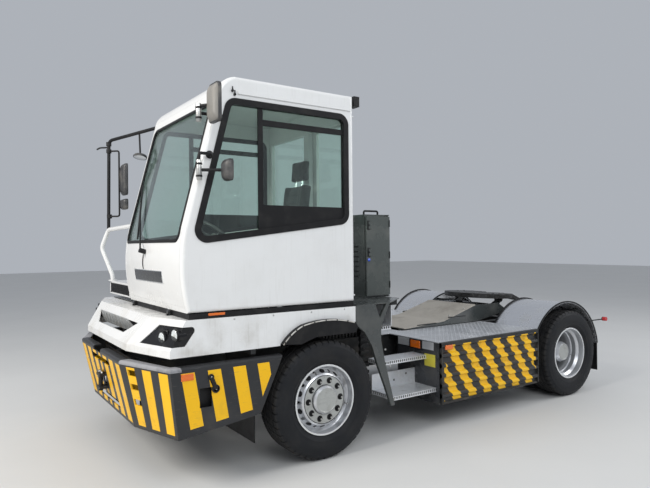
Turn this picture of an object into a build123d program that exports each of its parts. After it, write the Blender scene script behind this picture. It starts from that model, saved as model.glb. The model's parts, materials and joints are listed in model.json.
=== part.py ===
"""A terminal tractor: a short two-axle yard truck with a single-seat cab on its left side,
a steel bumper in three facets, battery boxes between the axles, and a lifting fifth wheel.

Millimetres. +X points forward, +Y to the vehicle's left, +Z up.
The origin is on the ground at the middle of the length and the width.
"""

import os

from build123d import *

os.makedirs("parts", exist_ok=True)

# Overall sizes
width = 2500
wheelbase = 3500
front_overhang = 1560
rear_overhang = 800
length = front_overhang + wheelbase + rear_overhang
mirror_reach = 1450
side_y = width / 2
front_axle_x = length / 2 - front_overhang
rear_axle_x = front_axle_x - wheelbase

# Running clearance of a turning fit, gap left at a rubber or a resting face
fit = 0.3
clear = 5

# Tyres, rims and hubs
tyre_radius = 500
tyre_width = 300
bead_radius = 290
flange_radius = 297.5
rim_half_width = 122
rim_wall = 8
well_radius = 262
disc_wall = 12
bolt_face_radius = 205
vent_radius = 14
vent_circle = 235
vent_count = 10
front_wheel_y = 1090
front_disc_offset = 104
front_hub_radius = 120
front_hub_reach = 140
twin_outer_y = 1100
twin_spacing = 340
rear_hub_radius = 118
rear_hub_reach = 40
spindle_radius = 38
rear_spindle_radius = 55

# Steering
kingpin_y = 915
kingpin_radius = 22
kingpin_boss_radius = 48
kingpin_boss_height = 130
fork_wall = 34
steering_arm = 190
tie_rod_radius = 18

# Ladder frame
rail_y = 430
rail_height = 260
rail_flange = 80
rail_wall = 9
rail_top = 835
rail_front_x = front_axle_x + 1300
rail_rear_x = -length / 2 + 30
cross_height = 150
cross_width = 110

# Front bumper
bumper_top = 935
bumper_low_front = 400
bumper_low_rear = 500
bumper_rear_x = front_axle_x + 430
bumper_rear_low_x = front_axle_x + 633
bumper_corner_x = front_axle_x + 1350
bumper_corner_low_x = front_axle_x + 1290
bumper_nose_x = length / 2
bumper_nose_low_x = front_axle_x + 1440
bumper_nose_y = 667
bumper_side_y = 1245
bumper_wall = 12
bumper_lip = 75
bumper_edge = 20

# White skirt above the bumper
skirt_low = 1000
skirt_fold = 1055
skirt_top = 1267
skirt_rear_x = front_axle_x - 330
skirt_side_y = 1205
skirt_corner_x = front_axle_x + 1335
skirt_nose_x = front_axle_x + 1500
skirt_nose_y = 667
skirt_corner_top_x = front_axle_x + 1215
skirt_nose_top_x = front_axle_x + 1345
skirt_nose_top_y = 790
skirt_wall = 8
lamp_band = (1078, 1218)
lamp_inner_y = 890
lamp_rear_low_x = front_axle_x + 1225
lamp_rear_top_x = front_axle_x + 1120
lamp_corner = 28
lamp_depth = 45
lamp_radius = 42

# Cab
cab_left = 1200
cab_right = -300
cab_floor_z = 1314
cab_roof_z = 3113
cab_foot_x = front_axle_x + 1197
cab_bulge_x = front_axle_x + 1290
cab_bulge_z = 1700
cab_brow_x = front_axle_x + 1262
cab_brow_z = 1950
cab_corner_bow = 45
cab_forehead_x = front_axle_x + 955
cab_forehead_z = 2950
cab_crown_x = front_axle_x + 800
cab_rear_x = front_axle_x - 330
cab_wall = 45
cab_floor_wall = cab_wall
cab_edge = 32
cab_roof_split = cab_roof_z - 130
cab_tilt_x = front_axle_x + 1185
cab_tilt_z = 1290
cab_pin_radius = 14
hinge_places = (cab_right + 130, cab_left - 420)
ear_wall = 14
ear_gap = 44
ear_radius = 18

# Cab windows
screen_low = 1850
screen_high = 2900
screen_margin = 75
glass_wall = 8
glass_inset = 12
side_window_low_front = 1830
side_window_low_rear = 2003
side_window_high = 2930
side_window_front_low_x = front_axle_x + 1158
side_window_front_high_x = front_axle_x + 866
side_window_rear_x = front_axle_x - 258
side_window_corner = 85
seal_width = 38
seal_lip = 12
seal_bead = 7
seal_depth = 40
glass_tuck = 10
window_bar_x = (front_axle_x + 565, front_axle_x + 608)
window_bar_z = (2757, 2804)
window_panel_top = 2130
drip_rail_z = (2975, 3005)
drip_rail_reach = 11

# Rear wall and its sliding door
door_low = 1412
door_high = 2895
door_left = 1090
door_right = 540
door_wall = 30
door_overlap = 45
door_travel = 560
rear_window_low = 2010
rear_window_high = 2880

# Landing, posts and steps
landing_z = 1275
landing_wall = 8
landing_rear_x = front_axle_x - 1090
landing_corner_y = 920
post_y = 1200
post_wall = 30
low_step_z = 395
mid_step_z = 700
upper_step_z = 1010
step_front_x = front_axle_x - 780

# Battery boxes, guards and decks
box_front_x = front_axle_x - 1342
box_rear_x = front_axle_x - 2860
box_inner_y = 605
box_outer_y = 1214
box_low = 237
deck_z = 843
deck_wall = 8
guard_rib_count = 6
guard_rib_depth = 36
guard_skin = 8

# Rear mudguards
guard_inner_y = 617
guard_wall = 5
guard_top = 1100
mudguard_front_x = rear_axle_x + 620
mudguard_rear_x = rear_axle_x - 570

# Lifting boom and fifth wheel
boom_pivot_x = front_axle_x - 1560
boom_pivot_z = 715
boom_side_y = 400
boom_side_wall = 12
boom_arm_y = 338
boom_arm_wall = 35
ramp_front_x = front_axle_x - 1625
ramp_fold_x = front_axle_x - 2250
ramp_rear_x = front_axle_x - 2800
ramp_front_z = 862
ramp_fold_z = 900
ramp_rear_z = 1055
ramp_wall = 10
wheel_pivot_x = front_axle_x - 3310
wheel_pivot_z = 1088
plate_top_z = 1155
plate_radius = 440
plate_wall = 22
plate_rest_tilt = 3
jaw_radius = 25.6
jaw_height = 45
throat_half = 34
throat_flare = 185
pivot_pin_radius = 20
pivot_boss_radius = 40

# Lift cylinders
cylinder_y = 235
cylinder_foot_x = front_axle_x - 2460
cylinder_foot_z = 400
cylinder_head_x = front_axle_x - 2500
cylinder_head_z = 880
barrel_radius = 55
rod_radius = 32
cylinder_pin_radius = 22
eye_play = 3

# Cabinet behind the cab
cabinet_left = 740
cabinet_right = -460
cabinet_front_x = front_axle_x - 830
cabinet_rear_x = front_axle_x - 1130
cabinet_top = 2110
cabinet_wall = 25
cabinet_door_wall = 24


def side_plane(y):
    """A sketch plane at one place along Y: its x is X and its y is Z, and it faces right."""
    return Plane(origin=(0, y, 0), x_dir=(1, 0, 0), z_dir=(0, -1, 0))


def block(x, y, z, mode=Mode.ADD):
    """A box between two places along each axis, in the part being built."""
    with Locations((sum(x) / 2, sum(y) / 2, sum(z) / 2)):
        Box(abs(x[1] - x[0]), abs(y[1] - y[0]), abs(z[1] - z[0]), mode=mode)


def rod(start, end, radius, mode=Mode.ADD):
    """A round bar from one point to another, in the part being built."""
    start, end = Vector(*start), Vector(*end)
    with Locations(Plane(origin=start, z_dir=end - start)):
        Cylinder(radius, (end - start).length, align=(Align.CENTER, Align.CENTER, Align.MIN), mode=mode)


def slab(points, y_low, y_high):
    """A plate with its outline in X and Z, between two places along Y."""
    with BuildPart() as plate:
        with BuildSketch(side_plane(y_high)):
            with BuildLine():
                Polyline(*points, close=True)
            make_face()
        extrude(amount=y_high - y_low)
    return plate.part


def tube(points, radius, corner):
    """A bent bar along points, each corner an arc of one radius."""
    with BuildPart() as bar:
        with BuildLine() as path:
            FilletPolyline(*points, radius=corner)
        with BuildSketch(Plane(origin=path.line @ 0, z_dir=path.line % 0)):
            Circle(radius)
        sweep(path=path.line)
    return bar.part


def keep(part, name):
    """Label a finished piece and write it."""
    part.label = name
    export_step(part, f"parts/{name}.step")


# Ladder frame: two channels, open to the inside, and the members between them
rail_low = rail_top - rail_height
with BuildPart() as frame_rails:
    with BuildSketch(Plane.YZ.offset(rail_rear_x)):
        with Locations((rail_y - rail_flange / 2, (rail_top + rail_low) / 2)):
            Rectangle(rail_flange, rail_height)
        with Locations((rail_y - rail_wall - rail_flange / 2, (rail_top + rail_low) / 2)):
            Rectangle(rail_flange, rail_height - 2 * rail_wall, mode=Mode.SUBTRACT)
    extrude(amount=rail_front_x - rail_rear_x)
    mirror(about=Plane.XZ)
keep(frame_rails.part, "frame_rails")

cross_y = rail_y - rail_wall
bar_wall = 12
bar_x = (rail_rear_x - bar_wall, rail_rear_x)
stalk_y = 1190
cross_mid_z = (rail_top + rail_low) / 2
cross_places = (
    rail_front_x - cross_width / 2,
    front_axle_x + 420,
    boom_pivot_x + 170,
    rear_axle_x - 330,
    rail_rear_x + cross_width / 2,
)
with BuildPart() as frame_crossmembers:
    with BuildSketch(Plane.XZ.offset(-cross_y)):
        with Locations(*[(x, cross_mid_z) for x in cross_places]):
            Rectangle(cross_width, cross_height)
            Rectangle(cross_width - 16, cross_height - 16, mode=Mode.SUBTRACT)
    extrude(amount=2 * cross_y)
    # Bar across the rails' rear ends, with a stalk for a lamp at each side
    block(bar_x, (-900, 900), (650, 790))
    for side in (1, -1):
        rod((rail_rear_x - 4, side * 890, 770), (rail_rear_x - 4, side * stalk_y, 835), 7)
keep(frame_crossmembers.part, "frame_crossmembers")

# Lift mounts: hangers below the rails for the cylinders' feet, and the boom's two pivot pins
hanger_wall = 16
boom_pin_radius = 28
with BuildPart() as lift_mounts:
    for side in (1, -1):
        outer, inner = side * rail_y, side * (rail_y - hanger_wall)
        block(
            (cylinder_foot_x - 90, cylinder_foot_x + 90),
            (outer, inner),
            (cylinder_foot_z - 50, rail_low),
        )
    rod(
        (cylinder_foot_x, -rail_y, cylinder_foot_z),
        (cylinder_foot_x, rail_y, cylinder_foot_z),
        cylinder_pin_radius,
    )
    for side in (1, -1):
        web = cross_y * side
        arm_outer = (boom_arm_y + clear) * side
        arm_inner = (boom_arm_y - boom_arm_wall + 2) * side
        block(
            (boom_pivot_x - 70, boom_pivot_x + 70),
            (web, arm_outer),
            (rail_low + rail_wall, rail_top - rail_wall),
        )
        rod(
            (boom_pivot_x, arm_outer, boom_pivot_z),
            (boom_pivot_x, arm_inner, boom_pivot_z),
            boom_pin_radius,
        )
keep(lift_mounts.part, "lift_mounts")


def faceted(rows, inset, side, rear_x):
    """A solid with three facets at its front, lofted through rows of (z, corner x, nose x, nose y)
    and drawn in by one wall at every face but the rear.
    """
    with BuildPart() as form:
        for z, corner_x, nose_x, nose_y in rows:
            with BuildSketch(Plane.XY.offset(z)):
                near, nose_near = side - inset, nose_y - inset * 0.5
                with BuildLine():
                    Polyline(
                        (rear_x, -near),
                        (corner_x - inset * 0.4, -near),
                        (nose_x - inset, -nose_near),
                        (nose_x - inset, nose_near),
                        (corner_x - inset * 0.4, near),
                        (rear_x, near),
                        close=True,
                    )
                make_face()
        loft(ruled=True)
    return form.part


# Bumper: plates folded in three facets, the nose leaning back, with a turned-in top edge
def nose_at(z):
    """Where the leaning nose plate stands at one height."""
    share = (z - bumper_low_front) / (bumper_top - bumper_low_front)
    return bumper_nose_low_x + share * (bumper_nose_x - bumper_nose_low_x)


def bumper_rows(low, high):
    """The bumper's plan at two heights."""
    share_low = (low - bumper_low_front) / (bumper_top - bumper_low_front)
    share_high = (high - bumper_low_front) / (bumper_top - bumper_low_front)
    corner_run = bumper_corner_x - bumper_corner_low_x
    return (
        (low, bumper_corner_low_x + share_low * corner_run, nose_at(low), bumper_nose_y),
        (high, bumper_corner_low_x + share_high * corner_run, nose_at(high), bumper_nose_y),
    )


tow_z = 650
tow_half = 55
tow_width = 120
tow_ear_wall = 20
tow_pin_radius = 19
tow_pin_top = tow_z + tow_half + 28
tow_pin_x = nose_at(tow_pin_top) + tow_pin_radius + 3
with BuildPart() as bumper:
    add(faceted(bumper_rows(bumper_low_front, bumper_top), 0, bumper_side_y, bumper_rear_x))
    top_edges = bumper.faces().sort_by(Axis.Z)[-1].edges()
    fillet(top_edges.filter_by(lambda edge: edge.center().X > bumper_rear_x + 1), bumper_edge)
    inner_rows = bumper_rows(bumper_low_front - 1, bumper_top - bumper_wall)
    add(faceted(inner_rows, bumper_wall, bumper_side_y, bumper_rear_x - 50), mode=Mode.SUBTRACT)
    mouth_rows = bumper_rows(bumper_top - 60, bumper_top + 40)
    add(faceted(mouth_rows, bumper_lip, bumper_side_y, bumper_rear_x - 50), mode=Mode.SUBTRACT)
    # The lower edge rises towards the wheels and the rear edge slants forward
    low_cut = [
        (bumper_nose_x + 100, bumper_low_front - 100),
        (bumper_nose_x + 100, bumper_low_front),
        (bumper_nose_low_x, bumper_low_front),
        (bumper_rear_low_x, bumper_low_rear),
        (bumper_rear_x, bumper_top),
        (bumper_rear_x - 200, bumper_top),
        (bumper_rear_x - 200, bumper_low_front - 100),
    ]
    add(slab(low_cut, -side_y, side_y), mode=Mode.SUBTRACT)
    # Slots in the nose around the tow coupling, three holes in each facet, one in each side
    for slot_z, slot_half, slot_height in ((840, 300, 46), (tow_z, 63, 152), (500, 330, 60)):
        block(
            (bumper_nose_x - 300, bumper_nose_x + 50),
            (-slot_half, slot_half),
            (slot_z - slot_height / 2, slot_z + slot_height / 2),
            mode=Mode.SUBTRACT,
        )
    for side in (1, -1):
        block(
            (front_axle_x + 1035, front_axle_x + 1130),
            (side * (side_y + 50), side * (side_y - 100)),
            (625, 768),
            mode=Mode.SUBTRACT,
        )
        for hole_z in (850, 740, 620):
            with Locations((front_axle_x + 1470, side * 800, hole_z)):
                Box(300, 90, 46, mode=Mode.SUBTRACT)
    notch_y = (-190, 60)
    block(
        (bumper_nose_x - 90, bumper_nose_x + 20),
        notch_y,
        (bumper_top - 40, bumper_top + 10),
        mode=Mode.SUBTRACT,
    )
    # Brackets that bolt to the ends of the rails
    bracket = [
        (rail_front_x, rail_low + 20),
        (nose_at(rail_low + 20) - bumper_wall, rail_low + 20),
        (nose_at(rail_top - 40) - bumper_wall, rail_top - 40),
        (rail_front_x, rail_top - 40),
    ]
    for side in (1, -1):
        ends = sorted((side * (rail_y - rail_wall), side * rail_y))
        add(slab(bracket, *ends))
keep(bumper.part, "bumper")

# Tow coupling on the nose: a block behind the plate, two ears, a pin through them and its handle
with BuildPart() as tow_coupling:
    block_half = tow_half + tow_ear_wall
    block(
        (rail_front_x, nose_at(tow_z) - 40),
        (-tow_width / 2, tow_width / 2),
        (tow_z - block_half, tow_z + block_half),
    )
    for ear_z in (tow_z - tow_half, tow_z + tow_half):
        ear = (ear_z - tow_ear_wall / 2, ear_z + tow_ear_wall / 2)
        block((nose_at(tow_z) - 40, bumper_nose_x), (-tow_width / 2, tow_width / 2), ear)
    rod((tow_pin_x, 0, tow_z - tow_half - 30), (tow_pin_x, 0, tow_pin_top), tow_pin_radius)
    rod((tow_pin_x, -45, tow_pin_top - 8), (tow_pin_x, 45, tow_pin_top - 8), 8)
keep(tow_coupling.part, "tow_coupling")

# Front arches: thick rubber lips over the front wheels, with a liner towards the frame
arch_inner_y = 780
arch_tip = (front_axle_x + 429, 1014)
arch_shoulder = (front_axle_x + 242, 1153)
arch_tail = (front_axle_x - 286, 1137)
arch_heel = (front_axle_x - 274, 1046)


def arch_top():
    """The upper edge of a front arch from its tip to its tail, in the line being drawn."""
    ThreePointArc(arch_tip, (front_axle_x + 345, 1096), arch_shoulder)
    ThreePointArc(arch_shoulder, (front_axle_x - 20, 1181), arch_tail)


with BuildPart() as front_arches:
    with BuildSketch(side_plane(side_y)):
        with BuildLine():
            arch_top()
            ThreePointArc(arch_tail, (front_axle_x - 319, 1092), arch_heel)
            Polyline(arch_heel, (front_axle_x + 110, 1046), (front_axle_x + 257, 1000), arch_tip)
        make_face()
    extrude(amount=side_y - arch_inner_y)
    mirror(about=Plane.XZ)
keep(front_arches.part, "front_arches")


# Skirt: a white shell with a fold along its front, open below and behind
def skirt_rows(lid):
    """The skirt's plan at its fold and at its top, the top lowered by a lid."""
    return (
        (skirt_fold, skirt_corner_x, skirt_nose_x, skirt_nose_y),
        (skirt_top - lid, skirt_corner_top_x, skirt_nose_top_x, skirt_nose_top_y),
    )


def skirt_form(inset, low, lid=0):
    """The skirt's form as a solid drawn in by one wall, with its upright band below the fold."""
    with BuildPart() as form:
        add(faceted(skirt_rows(lid), inset, skirt_side_y, skirt_rear_x))
        band = (
            (low, skirt_corner_x, skirt_nose_x, skirt_nose_y),
            (skirt_fold, skirt_corner_x, skirt_nose_x, skirt_nose_y),
        )
        add(faceted(band, inset, skirt_side_y, skirt_rear_x))
    return form.part


def lamp_region(grow):
    """The corner that one headlamp pod takes up: its outline from the front, cut by its outline
    from the side, whose rear edge slants and is rounded at its head.
    """
    low, high = lamp_band
    outline = [
        (lamp_inner_y - 70 - grow, low - grow),
        (skirt_side_y + 60, low - grow),
        (skirt_side_y + 60, high + grow),
        (lamp_inner_y + 50 - grow, high + grow),
    ]
    with BuildPart() as region:
        with BuildSketch(Plane.YZ.offset(lamp_rear_top_x - grow)):
            with BuildLine():
                Polyline(*outline, close=True)
            make_face()
        extrude(amount=skirt_nose_x - lamp_rear_top_x)
        with BuildSketch(side_plane(skirt_side_y + 61)) as profile:
            with BuildLine():
                Polyline(
                    (lamp_rear_low_x - grow, low - grow - 1),
                    (skirt_nose_x + 1, low - grow - 1),
                    (skirt_nose_x + 1, high + grow),
                    (lamp_rear_top_x - grow, high + grow),
                    close=True,
                )
            make_face()
            fillet(profile.vertices().sort_by(Axis.X)[0], lamp_corner)
        extrude(amount=skirt_side_y, mode=Mode.INTERSECT)
    return region.part


intake_top = (620, 1202)
intake_low = (430, 1112)
with BuildPart() as front_skirt:
    add(skirt_form(0, skirt_low))
    add(skirt_form(skirt_wall, skirt_low - 1, skirt_wall), mode=Mode.SUBTRACT)
    # Open under the cab, down to a ledge around the three sides
    block(
        (skirt_rear_x - 1, cab_foot_x - 60),
        (-skirt_side_y + 45, skirt_side_y - 45),
        (skirt_top - 30, skirt_top + 1),
        mode=Mode.SUBTRACT,
    )
    for y in hinge_places:
        notch_half = ear_gap / 2 + ear_wall + 8
        block(
            (cab_foot_x - 61, cab_tilt_x + 36),
            (y - notch_half, y + notch_half),
            (skirt_top - 30, skirt_top + 1),
            mode=Mode.SUBTRACT,
        )
    with BuildSketch(Plane.YZ.offset(skirt_nose_top_x - 60)):
        with BuildLine():
            Polyline(
                (-intake_top[0], intake_top[1]),
                (intake_top[0], intake_top[1]),
                (intake_low[0], intake_low[1]),
                (-intake_low[0], intake_low[1]),
                close=True,
            )
        make_face()
    extrude(amount=300, mode=Mode.SUBTRACT)
    for part in (lamp_region(0), mirror(lamp_region(0), Plane.XZ)):
        add(part, mode=Mode.SUBTRACT)
    # Cut away around the arches and everything below them
    add(front_arches.part, mode=Mode.SUBTRACT)
    with BuildSketch(side_plane(side_y)):
        with BuildLine():
            arch_top()
            Polyline(
                arch_tail,
                (skirt_rear_x - 10, arch_tail[1] - 9),
                (skirt_rear_x - 10, skirt_low - 100),
                (arch_tip[0], skirt_low - 100),
                arch_tip,
            )
        make_face()
    extrude(amount=2 * side_y, mode=Mode.SUBTRACT)
keep(front_skirt.part, "front_skirt")

# Headlamps: a dark pod behind each opening, with two round lamps standing in it
lamp_places = ((front_axle_x + 1328, 1035), (front_axle_x + 1284, 1160))
lamp_z = 1152
with BuildPart() as pod:
    add(skirt_form(skirt_wall, skirt_low, skirt_wall))
    add(skirt_form(skirt_wall + lamp_depth, skirt_low - 1), mode=Mode.SUBTRACT)
    add(lamp_region(14), mode=Mode.INTERSECT)
    for x, y in lamp_places:
        with Locations(Plane(origin=(x - 70, y, lamp_z), z_dir=(1, 0.25, 0))):
            Cylinder(lamp_radius, 66, align=(Align.CENTER, Align.CENTER, Align.MIN))
with BuildPart() as headlamps:
    add(pod.part)
    mirror(about=Plane.XZ)
keep(headlamps.part, "headlamps")

# Towers on the rails carry the cab's tilting pins in front and its rests behind
tower_x = (front_axle_x + 1135, front_axle_x + 1235)
tower_beam_z = (1150, 1225)
rest_x = (cab_rear_x + 20, cab_rear_x + 110)
rest_beam_z = (1180, 1262)
rest_pad = 60
with BuildPart() as cab_supports:
    for side in (1, -1):
        ends = (side * (rail_y - rail_flange), side * rail_y)
        block(tower_x, ends, (rail_top, tower_beam_z[0]))
        block(rest_x, ends, (rail_top, rest_beam_z[0]))
    block(tower_x, (-rail_y, hinge_places[1] + 60), tower_beam_z)
    block(rest_x, (-rail_y, hinge_places[1] + 60), rest_beam_z)
    for y in hinge_places:
        for ear_y in (y - ear_gap / 2 - ear_wall, y + ear_gap / 2):
            block(
                (cab_tilt_x - ear_radius, cab_tilt_x + ear_radius),
                (ear_y, ear_y + ear_wall),
                (tower_beam_z[0], cab_tilt_z),
            )
            rod((cab_tilt_x, ear_y, cab_tilt_z), (cab_tilt_x, ear_y + ear_wall, cab_tilt_z), ear_radius)
        ear_y = y + ear_gap / 2 + ear_wall
        rod(
            (cab_tilt_x, y - ear_gap / 2 - ear_wall, cab_tilt_z),
            (cab_tilt_x, ear_y, cab_tilt_z),
            cab_pin_radius,
        )
        block(
            (sum(rest_x) / 2 - rest_pad / 2, sum(rest_x) / 2 + rest_pad / 2),
            (y - rest_pad / 2, y + rest_pad / 2),
            (rest_beam_z[0], cab_floor_z - fit),
        )
keep(cab_supports.part, "cab_supports")


# Cab: panels cut from one form, an outline in X and Z with an arc at the foot and at the brow
def cab_outline(inset, bow):
    """The cab's outline seen from its side, its bulge and brow drawn back by the bow, and the
    whole drawn in by one wall.
    """
    foot = (cab_foot_x, cab_floor_z)
    brow = (cab_brow_x - bow, cab_brow_z)
    forehead = (cab_forehead_x, cab_forehead_z)
    crown = (cab_crown_x, cab_roof_z)
    with BuildSketch() as outline:
        with BuildLine():
            Line((cab_rear_x, cab_floor_z), foot)
            ThreePointArc(foot, (cab_bulge_x - bow, cab_bulge_z), brow)
            Line(brow, forehead)
            ThreePointArc(forehead, (cab_forehead_x - 48, cab_forehead_z + 103), crown)
            Polyline(crown, (cab_rear_x, cab_roof_z), (cab_rear_x, cab_floor_z))
        make_face()
        if inset:
            offset(amount=-inset, kind=Kind.INTERSECTION, mode=Mode.REPLACE)
    return outline.sketch


def cab_form(inset):
    """What the cab takes up between its side panels, drawn in by one wall: its front bows out
    from both corners to the middle.
    """
    with BuildPart() as form:
        for y, bow in ((inner_left, cab_corner_bow), (cab_middle_y, 0), (inner_right, cab_corner_bow)):
            with BuildSketch(side_plane(y)):
                add(cab_outline(inset, bow))
        loft()
    return form.part


cab_middle_y = (cab_left + cab_right) / 2
inner_right = cab_right + cab_wall
inner_left = cab_left - cab_wall
screen_slope = Vector(cab_forehead_x - cab_brow_x, 0, cab_forehead_z - cab_brow_z).normalized()
screen_middle_z = (screen_low + screen_high) / 2
screen_middle_x = cab_brow_x + (screen_middle_z - cab_brow_z) * screen_slope.X / screen_slope.Z
screen_plane = Plane(
    origin=(screen_middle_x, cab_middle_y, screen_middle_z),
    x_dir=(0, 1, 0),
    z_dir=(screen_slope.Z, 0, -screen_slope.X),
)


def screen_block(grow):
    """What the windscreen's opening takes out, as a solid square to the slope."""
    with BuildPart() as opening:
        with BuildSketch(screen_plane):
            RectangleRounded(
                cab_left - cab_right - 2 * screen_margin + 2 * grow,
                (screen_high - screen_low) / screen_slope.Z + 2 * grow,
                55 + grow,
            )
        extrude(amount=150, both=True)
    return opening.part


with BuildPart() as cab_front:
    add(cab_form(0))
    add(cab_form(cab_wall), mode=Mode.SUBTRACT)
    block(
        (cab_crown_x - 40, cab_bulge_x + 100),
        (inner_right, inner_left),
        (cab_floor_z + cab_floor_wall, cab_roof_split),
        mode=Mode.INTERSECT,
    )
    add(screen_block(0), mode=Mode.SUBTRACT)
keep(cab_front.part, "cab_front")

with BuildPart() as windscreen:
    add(cab_form(glass_inset))
    add(cab_form(glass_inset + glass_wall), mode=Mode.SUBTRACT)
    add(screen_block(0), mode=Mode.INTERSECT)
    block(
        (cab_crown_x - 40, cab_bulge_x + 100),
        (inner_right, inner_left),
        (cab_floor_z + cab_floor_wall, cab_roof_split),
        mode=Mode.INTERSECT,
    )


def side_window(grow, y_low, y_high):
    """A side window's outline with rounded corners, widened all round, between two places along Y."""
    with BuildPart() as window:
        with BuildSketch(side_plane(y_high)):
            with BuildLine():
                FilletPolyline(
                    (side_window_rear_x, side_window_low_rear),
                    (side_window_front_low_x, side_window_low_front),
                    (side_window_front_high_x, side_window_high),
                    (side_window_rear_x, side_window_high),
                    radius=side_window_corner,
                    close=True,
                )
            make_face()
            if grow:
                offset(amount=grow, mode=Mode.REPLACE)
        extrude(amount=y_high - y_low)
    return window.part


cab_middle = Plane.XZ.offset(-cab_middle_y)
with BuildPart() as left_panel:
    with BuildSketch(side_plane(cab_left)):
        add(cab_outline(0, cab_corner_bow))
    extrude(amount=cab_wall)
    rim = left_panel.faces().sort_by(Axis.Y)[-1]
    fillet(rim.edges(), cab_edge)
    add(side_window(0, inner_left - 1, cab_left + 1), mode=Mode.SUBTRACT)
    # Drip rail over the window
    block(
        (cab_rear_x + cab_edge + 3, cab_crown_x - 15),
        (cab_left - 1, cab_left + drip_rail_reach),
        drip_rail_z,
    )
with BuildPart() as cab_sides:
    add(left_panel.part)
    mirror(about=cab_middle)
keep(cab_sides.part, "cab_sides")

glass_y = (cab_left - cab_wall / 2 - glass_wall / 2, cab_left - cab_wall / 2 + glass_wall / 2)
with BuildPart() as side_windows:
    add(side_window(-glass_tuck, *glass_y))
    mirror(about=cab_middle)

# Window seals: a rubber ring with a lip over the panel and a groove for the glass, the bars
# that divide the window, and the dark panel above its sill
with BuildPart() as window_bars:
    bar_depth = (glass_y[1], cab_left - 5)
    block(window_bar_x, bar_depth, (side_window_low_front, side_window_high))
    block((side_window_rear_x, window_bar_x[0] + 1), bar_depth, window_bar_z)
    block((side_window_rear_x, window_bar_x[0] + 15), bar_depth, (side_window_low_front, window_panel_top))
    add(side_window(5 - seal_width, *bar_depth), mode=Mode.INTERSECT)
with BuildPart() as window_seals:
    add(side_window(seal_lip, cab_left, cab_left + seal_bead))
    add(side_window(0, cab_left - seal_depth, cab_left + 1))
    add(side_window(-seal_width, cab_left - seal_depth - 1, cab_left + seal_bead + 1), mode=Mode.SUBTRACT)
    add(side_window(-glass_tuck, *glass_y), mode=Mode.SUBTRACT)
    add(window_bars.part)
    mirror(about=cab_middle)
keep(window_seals.part, "window_seals")

with BuildPart() as cab_roof:
    add(cab_form(0))
    add(cab_form(cab_wall), mode=Mode.SUBTRACT)
    block(
        (cab_rear_x, cab_bulge_x),
        (inner_right, inner_left),
        (cab_roof_split, cab_roof_z),
        mode=Mode.INTERSECT,
    )
keep(cab_roof.part, "cab_roof")

with BuildPart() as cab_floor:
    add(cab_form(0))
    block(
        (cab_rear_x, cab_bulge_x),
        (inner_right, inner_left),
        (cab_floor_z, cab_floor_z + cab_floor_wall),
        mode=Mode.INTERSECT,
    )
    # Lugs that hang from the floor between the ears of the tilting pins
    for y in hinge_places:
        lug = (y - ear_gap / 2 + 2, y + ear_gap / 2 - 2)
        block((cab_tilt_x - 24, cab_tilt_x + 12), lug, (cab_tilt_z, cab_floor_z + 1))
        rod((cab_tilt_x, lug[0], cab_tilt_z), (cab_tilt_x, lug[1], cab_tilt_z), 24)
        rod(
            (cab_tilt_x, lug[0] - 1, cab_tilt_z),
            (cab_tilt_x, lug[1] + 1, cab_tilt_z),
            cab_pin_radius + fit,
            mode=Mode.SUBTRACT,
        )
keep(cab_floor.part, "cab_floor")

# Rear wall with a doorway and a fixed window, and the rails that the door slides on
rail_lip = door_wall + 2 * clear
with BuildPart() as cab_rear:
    block(
        (cab_rear_x, cab_rear_x + cab_wall),
        (inner_right, inner_left),
        (cab_floor_z + cab_floor_wall, cab_roof_split),
    )
    block(
        (cab_rear_x - 1, cab_rear_x + cab_wall + 1),
        (door_right, door_left),
        (door_low, door_high),
        mode=Mode.SUBTRACT,
    )
    block(
        (cab_rear_x - 1, cab_rear_x + cab_wall + 1),
        (cab_right + 90, door_right - 90),
        (rear_window_low, rear_window_high),
        mode=Mode.SUBTRACT,
    )
    runner_y = (door_right - door_overlap - door_travel - 10, door_left + door_overlap + 10)
    runner_high = door_high + door_overlap + fit
    runner_low = door_low - door_overlap - fit
    block(
        (cab_rear_x - rail_lip, cab_rear_x),
        (max(runner_y[0], inner_right), runner_y[1]),
        (runner_high, runner_high + 12),
    )
    block(
        (cab_rear_x - rail_lip, cab_rear_x),
        (max(runner_y[0], inner_right), runner_y[1]),
        (runner_low - 12, runner_low),
    )
keep(cab_rear.part, "cab_rear")

with BuildPart() as rear_window:
    block(
        (cab_rear_x + 18, cab_rear_x + 18 + glass_wall),
        (cab_right + 90, door_right - 90),
        (rear_window_low, rear_window_high),
    )
with BuildPart() as cab_glass:
    add(windscreen.part)
    add(side_windows.part)
    add(rear_window.part)
keep(cab_glass.part, "cab_glass")

door_x = (cab_rear_x - clear - door_wall, cab_rear_x - clear)
door_glass_y = (door_right + 55, door_left - 55)
door_glass_z = (rear_window_low, rear_window_high)
with BuildPart() as rear_door:
    block(
        door_x,
        (door_right - door_overlap, door_left + door_overlap),
        (door_low - door_overlap, door_high + door_overlap),
    )
    block((door_x[0] - 1, door_x[1] + 1), door_glass_y, door_glass_z, mode=Mode.SUBTRACT)
keep(rear_door.part, "rear_door")

with BuildPart() as door_glass:
    block((door_x[0] + 11, door_x[0] + 11 + glass_wall), door_glass_y, door_glass_z)
keep(door_glass.part, "door_glass")

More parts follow.
